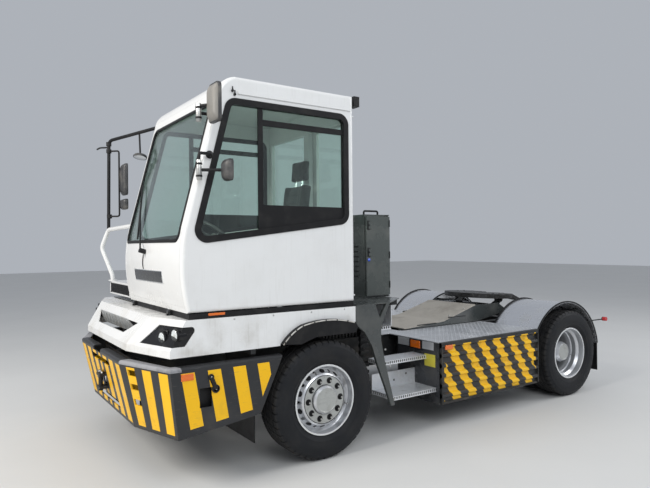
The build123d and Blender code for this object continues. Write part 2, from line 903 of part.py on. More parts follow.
# Dark plinth between the skirt and the cab, along the cab's foot
plinth_wall = 26
plinth_inset = 10
with BuildPart() as cab_plinth:
    plinth_z = (skirt_top, cab_floor_z - clear)
    block(
        (cab_rear_x + plinth_inset, cab_foot_x - 62),
        (cab_left - plinth_inset - plinth_wall, cab_left - plinth_inset),
        plinth_z,
    )
    block(
        (cab_foot_x - 62, cab_foot_x - plinth_inset - 2),
        (hinge_places[1] + 55, cab_left - plinth_inset),
        plinth_z,
    )
    block(
        (cab_foot_x - 36, cab_foot_x - plinth_inset - 2),
        (hinge_places[0] + 55, hinge_places[1] - 55),
        plinth_z,
    )
keep(cab_plinth.part, "cab_plinth")

# Seat on its pedestal, dashboard and steering wheel
seat_x = front_axle_x - 60
seat_y = 480
seat_base_z = 1760
floor_top = cab_floor_z + cab_floor_wall
with BuildPart() as seat:
    block((seat_x - 20, seat_x + 360), (seat_y - 170, seat_y + 170), (floor_top, seat_base_z - 110))
    block((seat_x - 60, seat_x + 440), (seat_y - 240, seat_y + 240), (seat_base_z - 110, seat_base_z))
    back = [
        (seat_x + 20, seat_base_z - 30),
        (seat_x - 110, seat_base_z - 30),
        (seat_x - 200, seat_base_z + 640),
        (seat_x - 110, seat_base_z + 640),
    ]
    add(slab(back, seat_y - 225, seat_y + 225))
    head = [
        (seat_x - 116, seat_base_z + 639),
        (seat_x - 196, seat_base_z + 639),
        (seat_x - 215, seat_base_z + 880),
        (seat_x - 125, seat_base_z + 880),
    ]
    add(slab(head, seat_y - 140, seat_y + 140))
keep(seat.part, "seat")

dash_x = (front_axle_x + 760, front_axle_x + 1130)
dash_top = 1790
with BuildPart() as dashboard:
    dash_outline = [
        (dash_x[0] + 150, floor_top),
        (dash_x[1], floor_top),
        (dash_x[1], dash_top),
        (dash_x[0] + 90, dash_top),
        (dash_x[0], dash_top - 110),
    ]
    add(slab(dash_outline, inner_right + 40, inner_left - 40))
keep(dashboard.part, "dashboard")

wheel_middle = (front_axle_x + 650, seat_y, 1880)
column_foot = (front_axle_x + 800, seat_y, dash_top - 80)
column_run = Vector(*wheel_middle) - Vector(*column_foot)
with BuildPart() as steering_wheel:
    with BuildSketch(Plane(origin=wheel_middle, x_dir=(0, 1, 0), z_dir=column_run)):
        Circle(225)
        Circle(193, mode=Mode.SUBTRACT)
        Rectangle(390, 34)
        Circle(48)
    extrude(amount=15, both=True)
    column_start = Vector(*column_foot) + column_run.normalized() * -30
    rod(tuple(column_start), wheel_middle, 26)
    add(dashboard.part, mode=Mode.SUBTRACT)
keep(steering_wheel.part, "steering_wheel")

# Mirrors: arms and housings on the left pillar, a tube frame on the right side
arm_radius = 12
with BuildPart() as left_mirrors:
    swivel_x = front_axle_x + 1120
    swivel_y = cab_left + 45
    for pillar_x, arm_z, swivel_z, head_x, head_y, head_z in (
        (
            front_axle_x + 938,
            2780,
            (2715, 2850),
            (front_axle_x + 980, front_axle_x + 1035),
            (1270, mirror_reach),
            (2690, 2975),
        ),
        (
            front_axle_x + 1020,
            2490,
            (2290, 2440),
            (front_axle_x + 925, front_axle_x + 985),
            (1290, 1420),
            (2285, 2445),
        ),
    ):
        arm = [
            (pillar_x, cab_left + fit, arm_z),
            (pillar_x, swivel_y, arm_z),
            (swivel_x, swivel_y, arm_z),
            (swivel_x, swivel_y, sum(swivel_z) / 2),
        ]
        if swivel_z[0] < arm_z < swivel_z[1]:
            arm = arm[:3]
        add(tube(arm, arm_radius, 20))
        rod((swivel_x, swivel_y, swivel_z[0]), (swivel_x, swivel_y, swivel_z[1]), 20)
        head_middle = ((head_x[0] + head_x[1]) / 2, head_y[0] + 30, sum(head_z) / 2)
        rod((swivel_x, swivel_y, head_middle[2]), head_middle, arm_radius)
        block(head_x, head_y, head_z)

frame_y = -1080
air_box_z = (1320, 1450)
with BuildPart() as air_box:
    block((front_axle_x + 560, front_axle_x + 1185), (frame_y - 20, cab_right), air_box_z)
keep(air_box.part, "air_box")

mast_x = front_axle_x + 1190
mast_low_z = 1990
mirror_rod_x = front_axle_x + 1108
mirror_rod_y = -1000
with BuildPart() as mirrors:
    add(left_mirrors.part)
    # A bulging tube stands on the air box, and a bar from its head reaches the cab
    base_tube = [
        (front_axle_x + 1160, frame_y, air_box_z[1] + 4),
        (front_axle_x + 1165, frame_y, air_box_z[1] + 60),
        (front_axle_x + 1250, frame_y - 100, 1800),
        (front_axle_x + 1200, frame_y, mast_low_z),
        (front_axle_x + 1160, cab_right - 90, 2005),
        (front_axle_x + 1160, cab_right - fit, 2005),
    ]
    add(tube(base_tube, 22, 50))
    mast = [
        (front_axle_x + 1200, frame_y, mast_low_z),
        (mast_x, frame_y, 2930),
        (front_axle_x + 885, cab_right - 80, 2985),
        (front_axle_x + 885, cab_right - fit, 2985),
    ]
    add(tube(mast, 17, 60))
    mirror_rod = [
        (mast_x + 5, frame_y, 2130),
        (mirror_rod_x, mirror_rod_y, 2130),
        (mirror_rod_x, mirror_rod_y, 2820),
        (mast_x, frame_y, 2820),
    ]
    add(tube(mirror_rod, 9, 25))
    for clamp_z in (2130, 2820, 2895):
        rod((mast_x, frame_y, clamp_z - 22), (mast_x, frame_y, clamp_z + 22), 26)
    for head_z in ((2350, 2680), (2200, 2310)):
        block((mirror_rod_x - 55, mirror_rod_x - 2), (mirror_rod_y - 30, mirror_rod_y + 140), head_z)
    # A kerb mirror hangs under the top bar
    kerb_x, kerb_y, kerb_z = front_axle_x + 990, -640, 2725
    rod((kerb_x + 8, kerb_y, 2960), (kerb_x, kerb_y, kerb_z), 9)
    with BuildSketch(Plane(origin=(kerb_x, kerb_y, kerb_z), x_dir=(0, 1, 0), z_dir=(-0.3, 0, 1))):
        Ellipse(120, 65)
    extrude(amount=22, both=True)
    gauge = [
        (mast_x, frame_y, 2860),
        (mast_x + 35, frame_y - 250, 2890),
        (mast_x + 35, -mirror_reach, 2890),
    ]
    add(tube(gauge, 9, 60))
keep(mirrors.part, "mirrors")

# Landing: the platform behind the cab, and the walkway over the right front wheel
with BuildPart() as landing:
    landing_low = landing_z - landing_wall
    with BuildSketch(Plane.XY.offset(landing_low)):
        with BuildLine():
            Polyline(
                (cab_rear_x - 20, post_y),
                (cab_rear_x - 400, post_y),
                (landing_rear_x, landing_corner_y),
                (landing_rear_x, -landing_corner_y),
                (cab_rear_x - 400, -post_y),
                (skirt_corner_top_x - 90, -post_y + 12),
                (skirt_corner_top_x - 90, cab_right - 30),
                (cab_rear_x - 20, cab_right - 30),
                close=True,
            )
        make_face()
    extrude(amount=landing_wall)
keep(landing.part, "landing")

# Landing supports: legs from the rails and outriggers under the platform
leg_x = (front_axle_x - 1080, front_axle_x - 1000)
with BuildPart() as landing_supports:
    for side in (1, -1):
        block(leg_x, (side * (rail_y - rail_flange), side * rail_y), (rail_top, landing_low - 60))
    block(leg_x, (-landing_corner_y + 20, landing_corner_y - 20), (landing_low - 60, landing_low))
    outrigger_x = (cab_rear_x - 90, cab_rear_x - 30)
    for side in (1, -1):
        block(outrigger_x, (side * (rail_y - rail_flange), side * rail_y), (rail_top, landing_low - 60))
    block(outrigger_x, (-post_y + post_wall, post_y - post_wall), (landing_low - 60, landing_low))
    block(
        (front_axle_x + 300, front_axle_x + 360),
        (-post_y + 60, -rail_y + rail_flange),
        (landing_low - 60, landing_low),
    )
    block(
        (front_axle_x + 300, front_axle_x + 360),
        (-rail_y, -rail_y + rail_flange),
        (rail_top, landing_low - 60),
    )

# Step posts: one folded plate behind each front wheel, waisted, with a notch at its head
post_front = [
    (front_axle_x - 335, landing_low),
    (front_axle_x - 340, 1105),
    (front_axle_x - 436, 1028),
    (front_axle_x - 516, 902),
    (front_axle_x - 585, 710),
    (front_axle_x - 666, 514),
    (front_axle_x - 737, 325),
]
post_back = [
    (front_axle_x - 781, 325),
    (front_axle_x - 669, 727),
    (front_axle_x - 623, 937),
    (front_axle_x - 625, 1048),
    (front_axle_x - 650, 1120),
    (front_axle_x - 730, landing_low),
    (front_axle_x - 690, landing_low),
    (front_axle_x - 612, 1140),
    (front_axle_x - 560, landing_low),
]
with BuildPart() as step_posts:
    add(slab(post_front + post_back, post_y - post_wall, post_y))
    mirror(about=Plane.XZ)
keep(step_posts.part, "step_posts")

# Steps of tread plate between the posts and the battery boxes
step_wall = 6
step_skirt = 40
kick_y = 860
step_rows = (
    # top z, outer y, inner y, front x, rear x
    (low_step_z, post_y - post_wall, kick_y, step_front_x, box_front_x),
    (mid_step_z, 1040, kick_y - 30, step_front_x + 20, box_front_x),
    (upper_step_z, 900, 640, front_axle_x - 800, leg_x[0]),
)
with BuildPart() as steps:
    for top, outer_y, inner_y, front_x, rear_x in step_rows:
        block((rear_x, front_x), (inner_y, outer_y), (top - step_wall, top))
        block((rear_x, front_x), (outer_y - step_wall, outer_y), (top - step_skirt, top))
        block((front_x - step_wall, front_x), (inner_y, outer_y), (top - step_skirt, top))
    block((leg_x[1] - 8, leg_x[1]), (640, 900), (upper_step_z - step_wall, landing_low - 60))
    # Kick plate behind the low step, up to the step above
    block(
        (box_front_x, step_front_x),
        (kick_y, kick_y + step_wall),
        (low_step_z - step_skirt, mid_step_z - step_wall),
    )
    mirror(about=Plane.XZ)
keep(steps.part, "steps")

# Battery boxes between the axles, each with a corrugated guard on its outer side
box_top = deck_z - deck_wall
with BuildPart() as side_boxes:
    block((box_rear_x, box_front_x), (box_inner_y, box_outer_y), (box_low, box_top))
    chamfer(side_boxes.edges().filter_by(Axis.X).group_by(Axis.Z)[0], 14)
    mirror(about=Plane.XZ)
keep(side_boxes.part, "side_boxes")

guard_low = box_low + 16
guard_pitch = (deck_z - guard_low) / guard_rib_count
with BuildPart() as side_guards:
    with BuildSketch(Plane.YZ.offset(box_rear_x)):
        with BuildLine():
            wave = [(box_outer_y, guard_low)]
            for rib in range(guard_rib_count):
                foot = guard_low + rib * guard_pitch
                wave += [
                    (box_outer_y + guard_skin, foot),
                    (box_outer_y + guard_skin, foot + guard_pitch * 0.42),
                    (box_outer_y + guard_rib_depth, foot + guard_pitch * 0.58),
                    (box_outer_y + guard_rib_depth, foot + guard_pitch * 0.84),
                ]
            wave += [(box_outer_y + guard_skin, deck_z), (box_outer_y, deck_z)]
            Polyline(*wave, close=True)
        make_face()
    extrude(amount=box_front_x - box_rear_x)
    mirror(about=Plane.XZ)
keep(side_guards.part, "side_guards")

# Tread-plate decks on both sides of the boom, joined ahead of it
deck_inner_y = boom_side_y + clear
deck_outer_y = box_outer_y
with BuildPart() as deck:
    deck_z_range = (box_top, deck_z)
    block((box_rear_x - 15, box_front_x), (-deck_outer_y, deck_outer_y), deck_z_range)
    block((box_front_x, leg_x[0] - 4), (-deck_inner_y - 60, deck_inner_y + 60), deck_z_range)
    block(
        (box_rear_x - 20, boom_pivot_x),
        (-deck_inner_y, deck_inner_y),
        (box_top - 1, deck_z + 1),
        mode=Mode.SUBTRACT,
    )
keep(deck.part, "deck")

# Rear mudguards of bare aluminium over the twin wheels
guard_front = (mudguard_front_x, 800)
guard_crown = (rear_axle_x + 30, guard_top)
guard_tail = (mudguard_rear_x, 560)
guard_outer_y = 1222


def guard_form(inset):
    """What a rear mudguard covers, drawn in by its wall, as a solid across its width."""
    front, tail = (guard_front[0] - inset, guard_front[1]), (guard_tail[0] + inset, guard_tail[1])
    with BuildPart() as form:
        with BuildSketch(side_plane(guard_outer_y)):
            with BuildLine():
                ThreePointArc(front, (guard_crown[0], guard_crown[1] - inset), tail)
                Polyline(tail, (tail[0], 500), (front[0], 500), front)
            make_face()
        extrude(amount=guard_outer_y - guard_inner_y)
    return form.part


with BuildPart() as rear_mudguards:
    add(guard_form(0))
    add(guard_form(guard_wall), mode=Mode.SUBTRACT)
    for (x, z), run in ((guard_front, -guard_wall - 5), (guard_tail, guard_wall + 5)):
        block((x, x + run), (guard_inner_y, guard_outer_y), (400, z), mode=Mode.SUBTRACT)
    mirror(about=Plane.XZ)
keep(rear_mudguards.part, "rear_mudguards")

# Mudflaps of black rubber behind the rear wheels and ahead of the front wheels
flap_wall = 8
front_flap_x = front_axle_x + 640
with BuildPart() as mudflaps:
    block(
        (mudguard_rear_x - flap_wall, mudguard_rear_x),
        (guard_inner_y, guard_outer_y),
        (225, guard_tail[1] + 40),
    )
    block((front_flap_x, front_flap_x + flap_wall), (620, 1160), (250, skirt_low))
    mirror(about=Plane.XZ)
keep(mudflaps.part, "mudflaps")

# Outriggers from the rails to what hangs outside them
with BuildPart() as outriggers:
    for x in (box_front_x - 160, box_rear_x + 160):
        block((x - 40, x + 40), (rail_y, box_inner_y), (610, 790))
    block(
        (front_flap_x + flap_wall, front_flap_x + 50),
        (rail_y, skirt_side_y - skirt_wall),
        (960, skirt_low),
    )
    block((front_flap_x + flap_wall, front_flap_x + 50), (rail_y - 40, rail_y), (rail_top, skirt_low))
    block(
        (front_flap_x + flap_wall, front_flap_x + 50),
        (skirt_side_y - skirt_wall - 20, skirt_side_y - skirt_wall),
        (960, 1040),
    )
with BuildPart() as guard_brackets:
    for x in (rear_axle_x + 560, rear_axle_x - 545):
        block((x - 12, x + 12), (guard_inner_y + 2, guard_outer_y - 60), (guard_tail[1], guard_top))
    add(guard_form(guard_wall), mode=Mode.INTERSECT)
    for x, low in ((rear_axle_x + 560, guard_tail[1] + 60), (rear_axle_x - 545, guard_tail[1] + 20)):
        block((x - 12, x + 12), (rail_y, guard_inner_y + 2), (low, low + 60))
        block((x - 12, x + 12), (guard_inner_y, guard_outer_y - 60), (low, low + 60))
with BuildPart() as all_outriggers:
    add(outriggers.part)
    add(guard_brackets.part)
    add(rear_mudguards.part, mode=Mode.SUBTRACT)
    mirror(about=Plane.XZ)
    add(landing_supports.part)
keep(all_outriggers.part, "outriggers")

# Tail lamps on the rear bar, and a lamp on each stalk
with BuildPart() as tail_lamps:
    for side in (1, -1):
        block((-length / 2, bar_x[0]), (side * 560, side * 860), (665, 775))
        with Locations((26 - length / 2, side * (stalk_y + 22), 840)):
            Cylinder(26, 40, rotation=(90, 0, 0))
    add(frame_crossmembers.part, mode=Mode.SUBTRACT)
keep(tail_lamps.part, "tail_lamps")

# Driveline: the drive motor as one block between the rails, its shaft and the rear axle
motor_x = (front_axle_x - 1000, front_axle_x - 360)
motor_y = rail_y - rail_flange
with BuildPart() as drive_motor:
    block(motor_x, (-motor_y, motor_y), (rail_low, 1020))
keep(drive_motor.part, "drive_motor")

shaft_start = (motor_x[0], 0, 600)
nose_x = rear_axle_x + 330
with BuildPart() as rear_axle:
    rod((rear_axle_x, -600, tyre_radius), (rear_axle_x, 600, tyre_radius), rail_low - tyre_radius)
    with Locations((rear_axle_x, 0, tyre_radius)):
        Cylinder(165, 150, rotation=(0, 0, 0))
        Sphere(158)
    rod((rear_axle_x, 0, tyre_radius), (nose_x, 0, tyre_radius), 80)
    for side in (1, -1):
        block(
            (rear_axle_x - 90, rear_axle_x + 90),
            (side * (rail_y - rail_flange), side * rail_y),
            (tyre_radius, rail_low),
        )
        rod(
            (rear_axle_x, side * 599, tyre_radius),
            (rear_axle_x, side * 1125, tyre_radius),
            rear_spindle_radius,
        )
    rod(shaft_start, (nose_x + 10, 0, tyre_radius), 40)
    rod((nose_x, 0, tyre_radius), (nose_x + 45, 0, tyre_radius), 70)
    add(drive_motor.part, mode=Mode.SUBTRACT)
keep(rear_axle.part, "rear_axle")

# Front axle: a forged beam under two leaf springs, a boss for a kingpin at each end
beam_z = (440, 530)
spring_wall = 26
with BuildPart() as front_axle:
    block((front_axle_x - 45, front_axle_x + 45), (-kingpin_y, kingpin_y), beam_z)
    for side in (1, -1):
        foot = (front_axle_x, side * kingpin_y, tyre_radius - kingpin_boss_height / 2)
        head = (front_axle_x, side * kingpin_y, tyre_radius + kingpin_boss_height / 2)
        rod(foot, head, kingpin_boss_radius)
        rod(foot, head, kingpin_radius + fit, mode=Mode.SUBTRACT)
keep(front_axle.part, "front_axle")

spring_half = 560
with BuildPart() as front_springs:
    with BuildSketch(side_plane(rail_y - 4)):
        with BuildLine():
            ends = (front_axle_x - spring_half, front_axle_x + spring_half)
            ThreePointArc((ends[0], rail_low - 24), (front_axle_x, beam_z[1]), (ends[1], rail_low - 24))
            Line((ends[1], rail_low - 24), (ends[1], rail_low))
            ThreePointArc((ends[1], rail_low), (front_axle_x, beam_z[1] + spring_wall), (ends[0], rail_low))
            Line((ends[0], rail_low), (ends[0], rail_low - 24))
        make_face()
    extrude(amount=72)
    mirror(about=Plane.XZ)
keep(front_springs.part, "front_springs")

# Steering knuckles, each with its kingpin, spindle, brake flange and arm
fork_gap = clear
knuckle_back_y = kingpin_y + kingpin_boss_radius + clear
arm_x = front_axle_x - steering_arm
arm_z = (
    tyre_radius - kingpin_boss_height / 2 - fork_gap - fork_wall,
    tyre_radius - kingpin_boss_height / 2 - fork_gap,
)
tie_z = arm_z[0] - 32
tie_end_y = kingpin_y
with BuildPart() as knuckle:
    high_z = (
        tyre_radius + kingpin_boss_height / 2 + fork_gap,
        tyre_radius + kingpin_boss_height / 2 + fork_gap + fork_wall,
    )
    for low, high in (arm_z, high_z):
        rod((front_axle_x, kingpin_y, low), (front_axle_x, kingpin_y, high), 44)
        block((front_axle_x - 40, front_axle_x + 40), (kingpin_y, knuckle_back_y + 10), (low, high))
    rod((front_axle_x, kingpin_y, arm_z[0]), (front_axle_x, kingpin_y, high_z[1]), kingpin_radius)
    block(
        (front_axle_x - 55, front_axle_x + 55),
        (knuckle_back_y, knuckle_back_y + 34),
        (arm_z[0], high_z[1]),
    )
    rod((front_axle_x, knuckle_back_y, tyre_radius), (front_axle_x, knuckle_back_y + 30, tyre_radius), 165)
    rod(
        (front_axle_x, knuckle_back_y, tyre_radius),
        (front_axle_x, front_wheel_y + 70, tyre_radius),
        spindle_radius,
    )
    block((arm_x - 22, front_axle_x), (tie_end_y - 22, tie_end_y + 22), arm_z)
    rod((arm_x, tie_end_y, tie_z - 20), (arm_x, tie_end_y, arm_z[1]), 12)
knuckle_left = knuckle.part
knuckle_right = mirror(knuckle_left, Plane.XZ)
keep(knuckle_left, "knuckle_left")
keep(knuckle_right, "knuckle_right")

with BuildPart() as tie_rod:
    rod((arm_x, -tie_end_y, tie_z), (arm_x, tie_end_y, tie_z), tie_rod_radius)
    for side in (1, -1):
        rod((arm_x, side * tie_end_y, tie_z - 24), (arm_x, side * tie_end_y, tie_z + 24), 22)
        rod(
            (arm_x, side * tie_end_y, tie_z - 25),
            (arm_x, side * tie_end_y, tie_z + 25),
            12 + fit,
            mode=Mode.SUBTRACT,
        )
keep(tie_rod.part, "tie_rod")


# Wheels, made about their own middle with +Y outward
def rim_ring():
    """A rim's rolled section: two flanges, two bead seats and the well, turned about Y."""
    half = rim_half_width
    seat = bead_radius - fit
    section = [
        (flange_radius, half),
        (flange_radius, half - 9),
        (seat, half - 12),
        (seat - 3, half - 52),
        (well_radius, half - 78),
        (well_radius, -half + 78),
        (seat - 3, -half + 52),
        (seat, -half + 12),
        (flange_radius, -half + 9),
        (flange_radius, -half),
        (seat - rim_wall, -half),
        (seat - rim_wall - 3, -half + 52 + rim_wall),
        (well_radius - rim_wall, -half + 78 + rim_wall),
        (well_radius - rim_wall, half - 78 - rim_wall),
        (seat - rim_wall - 3, half - 52 - rim_wall),
        (seat - rim_wall, half),
    ]
    with BuildPart() as ring:
        with BuildSketch(Plane.XY):
            with BuildLine():
                Polyline(*section, close=True)
            make_face()
        revolve(axis=Axis.Y)
    return ring.part


def wheel_disc(offset_y, bore, dish):
    """A dished disc from the rim's well to its bolt face."""
    rim_y = offset_y - dish
    section = [
        (bore, offset_y),
        (bolt_face_radius, offset_y),
        (bolt_face_radius + 14, offset_y - 10),
        (well_radius - 12, rim_y),
        (well_radius - rim_wall + 1, rim_y),
        (well_radius - rim_wall + 1, rim_y - 24),
        (well_radius - 20, rim_y - 18),
        (bolt_face_radius + 4, offset_y - 10 - disc_wall),
        (bolt_face_radius - 8, offset_y - disc_wall),
        (bore, offset_y - disc_wall),
    ]
    with BuildPart() as disc:
        with BuildSketch(Plane.XY):
            with BuildLine():
                Polyline(*section, close=True)
            make_face()
        revolve(axis=Axis.Y)
    return disc.part


def place(part, x, y, side):
    """Put a wheel-sized piece at one side, turned to face outward."""
    moved = part.moved(Location((x, y, tyre_radius)))
    return moved if side > 0 else mirror(moved, Plane.XZ)


def tyre_ring():
    """A tyre's section turned about Y: beads, bulging sidewalls, shoulders and crown."""
    half = tyre_width / 2
    bead_y = rim_half_width - 12 - fit
    with BuildPart() as ring:
        with BuildSketch(Plane.XY):
            with BuildLine():
                Line((bead_radius, -bead_y), (bead_radius, bead_y))
                Line((bead_radius, bead_y), (flange_radius + 3, bead_y + 1.5))
                Line((flange_radius + 3, bead_y + 1.5), (flange_radius + 14, bead_y + 14))
                ThreePointArc((flange_radius + 14, bead_y + 14), (390, half), (tyre_radius - 24, half - 16))
                ThreePointArc(
                    (tyre_radius - 24, half - 16),
                    (tyre_radius - 9, half - 24),
                    (tyre_radius - 3, half - 40),
                )
                ThreePointArc((tyre_radius - 3, half - 40), (tyre_radius, 0), (tyre_radius - 3, -half + 40))
                ThreePointArc(
                    (tyre_radius - 3, -half + 40),
                    (tyre_radius - 9, -half + 24),
                    (tyre_radius - 24, -half + 16),
                )
                ThreePointArc(
                    (tyre_radius - 24, -half + 16),
                    (390, -half),
                    (flange_radius + 14, -bead_y - 14),
                )
                Line((flange_radius + 14, -bead_y - 14), (flange_radius + 3, -bead_y - 1.5))
                Line((flange_radius + 3, -bead_y - 1.5), (bead_radius, -bead_y))
            make_face()
        revolve(axis=Axis.Y)
    return ring.part


tyre = tyre_ring()
with BuildPart() as front_rim:
    add(rim_ring())
    add(wheel_disc(front_disc_offset, 100, 62))
    # Vents through the disc's slope
    with BuildSketch(Plane.XZ.offset(-front_disc_offset - 10)):
        with PolarLocations(vent_circle, vent_count):
            Circle(vent_radius)
    extrude(amount=front_disc_offset, mode=Mode.SUBTRACT)
    with BuildSketch(Plane.XY):
        with BuildLine():
            Polyline(
                (0, front_hub_reach),
                (front_hub_radius - 14, front_hub_reach),
                (front_hub_radius, front_hub_reach - 16),
                (front_hub_radius, -10),
                (spindle_radius + fit, -10),
                (spindle_radius + fit, 76),
                (0, 76),
                close=True,
            )
        make_face()
    revolve(axis=Axis.Y)

twin_half = twin_spacing / 2
with BuildPart() as rear_rims:
    for y in (twin_half, -twin_half):
        add(rim_ring().moved(Location((0, y, 0))))
    outward = wheel_disc(twin_half, 90, twin_half - 40)
    add(outward.moved(Location((0, -twin_half, 0))))
    add(mirror(outward, Plane.XZ).moved(Location((0, twin_half, 0))))
    with BuildSketch(Plane.XY):
        with BuildLine():
            Polyline(
                (0, twin_half + rear_hub_reach),
                (rear_hub_radius - 20, twin_half + rear_hub_reach),
                (rear_hub_radius, twin_half + rear_hub_reach - 40),
                (rear_hub_radius, -120),
                (rear_spindle_radius + fit, -120),
                (rear_spindle_radius + fit, 200),
                (0, 200),
                close=True,
            )
        make_face()
    revolve(axis=Axis.Y)
with BuildPart() as rear_tyres:
    for y in (twin_half, -twin_half):
        add(tyre.moved(Location((0, y, 0))))

twin_middle_y = twin_outer_y - twin_half
for side, side_name in ((1, "left"), (-1, "right")):
    keep(place(tyre, front_axle_x, front_wheel_y, side), f"front_tyre_{side_name}")
    keep(place(front_rim.part, front_axle_x, front_wheel_y, side), f"front_rim_{side_name}")
    keep(place(rear_tyres.part, rear_axle_x, twin_middle_y, side), f"rear_tyres_{side_name}")
    keep(place(rear_rims.part, rear_axle_x, twin_middle_y, side), f"rear_rims_{side_name}")

# Lifting boom: two arms on the pivot pins, a cross tube, side plates and a shelf behind the ramp
arm_inner_y = boom_arm_y - boom_arm_wall
ramp_under = [
    (ramp_front_x, ramp_front_z - ramp_wall),
    (ramp_fold_x, ramp_fold_z - ramp_wall),
    (ramp_rear_x, ramp_rear_z - ramp_wall),
]
shelf_z = (1025, 1035)
shelf_rear_x = wheel_pivot_x + 130
arm_outline = [
    (boom_pivot_x + 60, boom_pivot_z - 60),
    (boom_pivot_x + 60, boom_pivot_z + 60),
    (boom_pivot_x - 45, boom_pivot_z + 95),
    *ramp_under,
    (ramp_rear_x, shelf_z[0]),
    (shelf_rear_x, shelf_z[0]),
    (wheel_pivot_x + 20, wheel_pivot_z - 13),
    (wheel_pivot_x - 35, wheel_pivot_z - 13),
    (wheel_pivot_x - 35, wheel_pivot_z - 53),
    (wheel_pivot_x + 110, wheel_pivot_z - 138),
    (ramp_rear_x + 50, cylinder_head_z - 80),
    (cylinder_head_x + 100, cylinder_head_z - 105),
    (boom_pivot_x - 60, boom_pivot_z - 60),
]
side_low = deck_z + clear
side_outline = [
    (ramp_front_x - 75, side_low),
    (
        ramp_front_x - 75,
        ramp_front_z - ramp_wall + 75 * (ramp_fold_z - ramp_front_z) / (ramp_front_x - ramp_fold_x),
    ),
    ramp_under[1],
    ramp_under[2],
    (wheel_pivot_x + 80, ramp_rear_z - ramp_wall),
    (wheel_pivot_x - 40, wheel_pivot_z - 113),
    (wheel_pivot_x - 40, wheel_pivot_z - 158),
    (ramp_rear_x - 50, side_low),
]
with BuildPart() as lift_boom:
    for low, high in ((arm_inner_y, boom_arm_y), (-boom_arm_y, -arm_inner_y)):
        add(slab(arm_outline, low, high))
        rod((wheel_pivot_x, low, wheel_pivot_z), (wheel_pivot_x, high, wheel_pivot_z), pivot_boss_radius)
    for low, high in (
        (boom_side_y - boom_side_wall, boom_side_y),
        (-boom_side_y, -boom_side_y + boom_side_wall),
    ):
        add(slab(side_outline, low, high))
    block((shelf_rear_x, ramp_rear_x), (-boom_side_y, boom_side_y), shelf_z)
    for low, high in ((arm_inner_y - 1, boom_arm_y + 1), (-boom_arm_y - 1, -arm_inner_y + 1)):
        rod(
            (boom_pivot_x, low, boom_pivot_z),
            (boom_pivot_x, high, boom_pivot_z),
            boom_pin_radius + fit,
            mode=Mode.SUBTRACT,
        )
        rod(
            (wheel_pivot_x, low, wheel_pivot_z),
            (wheel_pivot_x, high, wheel_pivot_z),
            pivot_pin_radius + fit,
            mode=Mode.SUBTRACT,
        )
    rod((boom_pivot_x, -arm_inner_y, boom_pivot_z), (boom_pivot_x, arm_inner_y, boom_pivot_z), 50)
    rod(
        (cylinder_head_x, -boom_arm_y + 10, cylinder_head_z),
        (cylinder_head_x, boom_arm_y - 10, cylinder_head_z),
        cylinder_pin_radius,
    )
keep(lift_boom.part, "lift_boom")

with BuildPart() as lift_ramp:
    ramp_top = [(x, z + ramp_wall) for x, z in ramp_under]
    add(slab(ramp_top + ramp_under[::-1], -boom_side_y, boom_side_y))
keep(lift_ramp.part, "lift_ramp")

# Lift cylinders, drawn closed: barrels turn on the hangers' pin, rods turn on the boom's pin
boom_travel = 18
foot = Vector(cylinder_foot_x, 0, cylinder_foot_z)
head = Vector(cylinder_head_x, 0, cylinder_head_z)
pivot = Vector(boom_pivot_x, 0, boom_pivot_z)
closed_length = (head - foot).length
stroke = (pivot + (head - pivot).rotate(Axis.Y, boom_travel) - foot).length - closed_length
barrel_reach = closed_length - 90
eye_radius = 44
eye_half = 25


def along(share, y):
    """A point on one cylinder's axis, so many millimetres up from its foot."""
    point = foot + (head - foot).normalized() * share
    return (point.X, y, point.Z)


with BuildPart() as lift_barrels:
    for y in (cylinder_y, -cylinder_y):
        rod(along(0, y - eye_half), along(0, y + eye_half), eye_radius)
        rod(along(30, y), along(56, y), eye_radius - 6)
        rod(along(50, y), along(barrel_reach, y), barrel_radius)
        rod(along(62, y), along(barrel_reach + 1, y), rod_radius + fit, mode=Mode.SUBTRACT)
        rod(
            along(0, y - eye_half - 1),
            along(0, y + eye_half + 1),
            cylinder_pin_radius + fit,
            mode=Mode.SUBTRACT,
        )
keep(lift_barrels.part, "lift_barrels")

with BuildPart() as lift_rods:
    for y in (cylinder_y, -cylinder_y):
        rod(along(barrel_reach - stroke - 35, y), along(closed_length - 30, y), rod_radius)
        rod(along(closed_length, y - eye_half), along(closed_length, y + eye_half), eye_radius)
        rod(
            along(closed_length, y - eye_half - 1),
            along(closed_length, y + eye_half + 1),
            cylinder_pin_radius + eye_play,
            mode=Mode.SUBTRACT,
        )
keep(lift_rods.part, "lift_rods")

# Fifth wheel, made level about its pivot: a ribbed plate with a throat, horns, lugs and pins
plate_rise = plate_top_z - wheel_pivot_z
plate_low = plate_rise - plate_wall
rib_depth = 36
horn_reach = 480
horn_half = 330
horn_drop = 72
throat_run = 130
lug_y = (boom_arm_y + clear, boom_arm_y + clear + 32)


def plate_form(inset, low, high):
    """The coupling plate's outline, drawn in by one wall, as a solid between two heights."""
    with BuildPart() as form:
        with BuildSketch(Plane.XY.offset(low)):
            Circle(plate_radius)
            with Locations((-horn_reach / 2, 0)):
                Rectangle(horn_reach, 2 * horn_half)
            with BuildLine():
                Polyline(
                    (0, throat_half),
                    (-throat_run, throat_half),
                    (-horn_reach - 1, throat_flare),
                    (-horn_reach - 1, -throat_flare),
                    (-throat_run, -throat_half),
                    (0, -throat_half),
                    close=True,
                )
            make_face(mode=Mode.SUBTRACT)
            Circle(throat_half, mode=Mode.SUBTRACT)
            if inset:
                offset(amount=-inset, mode=Mode.REPLACE)
        extrude(amount=high - low)
    return form.part


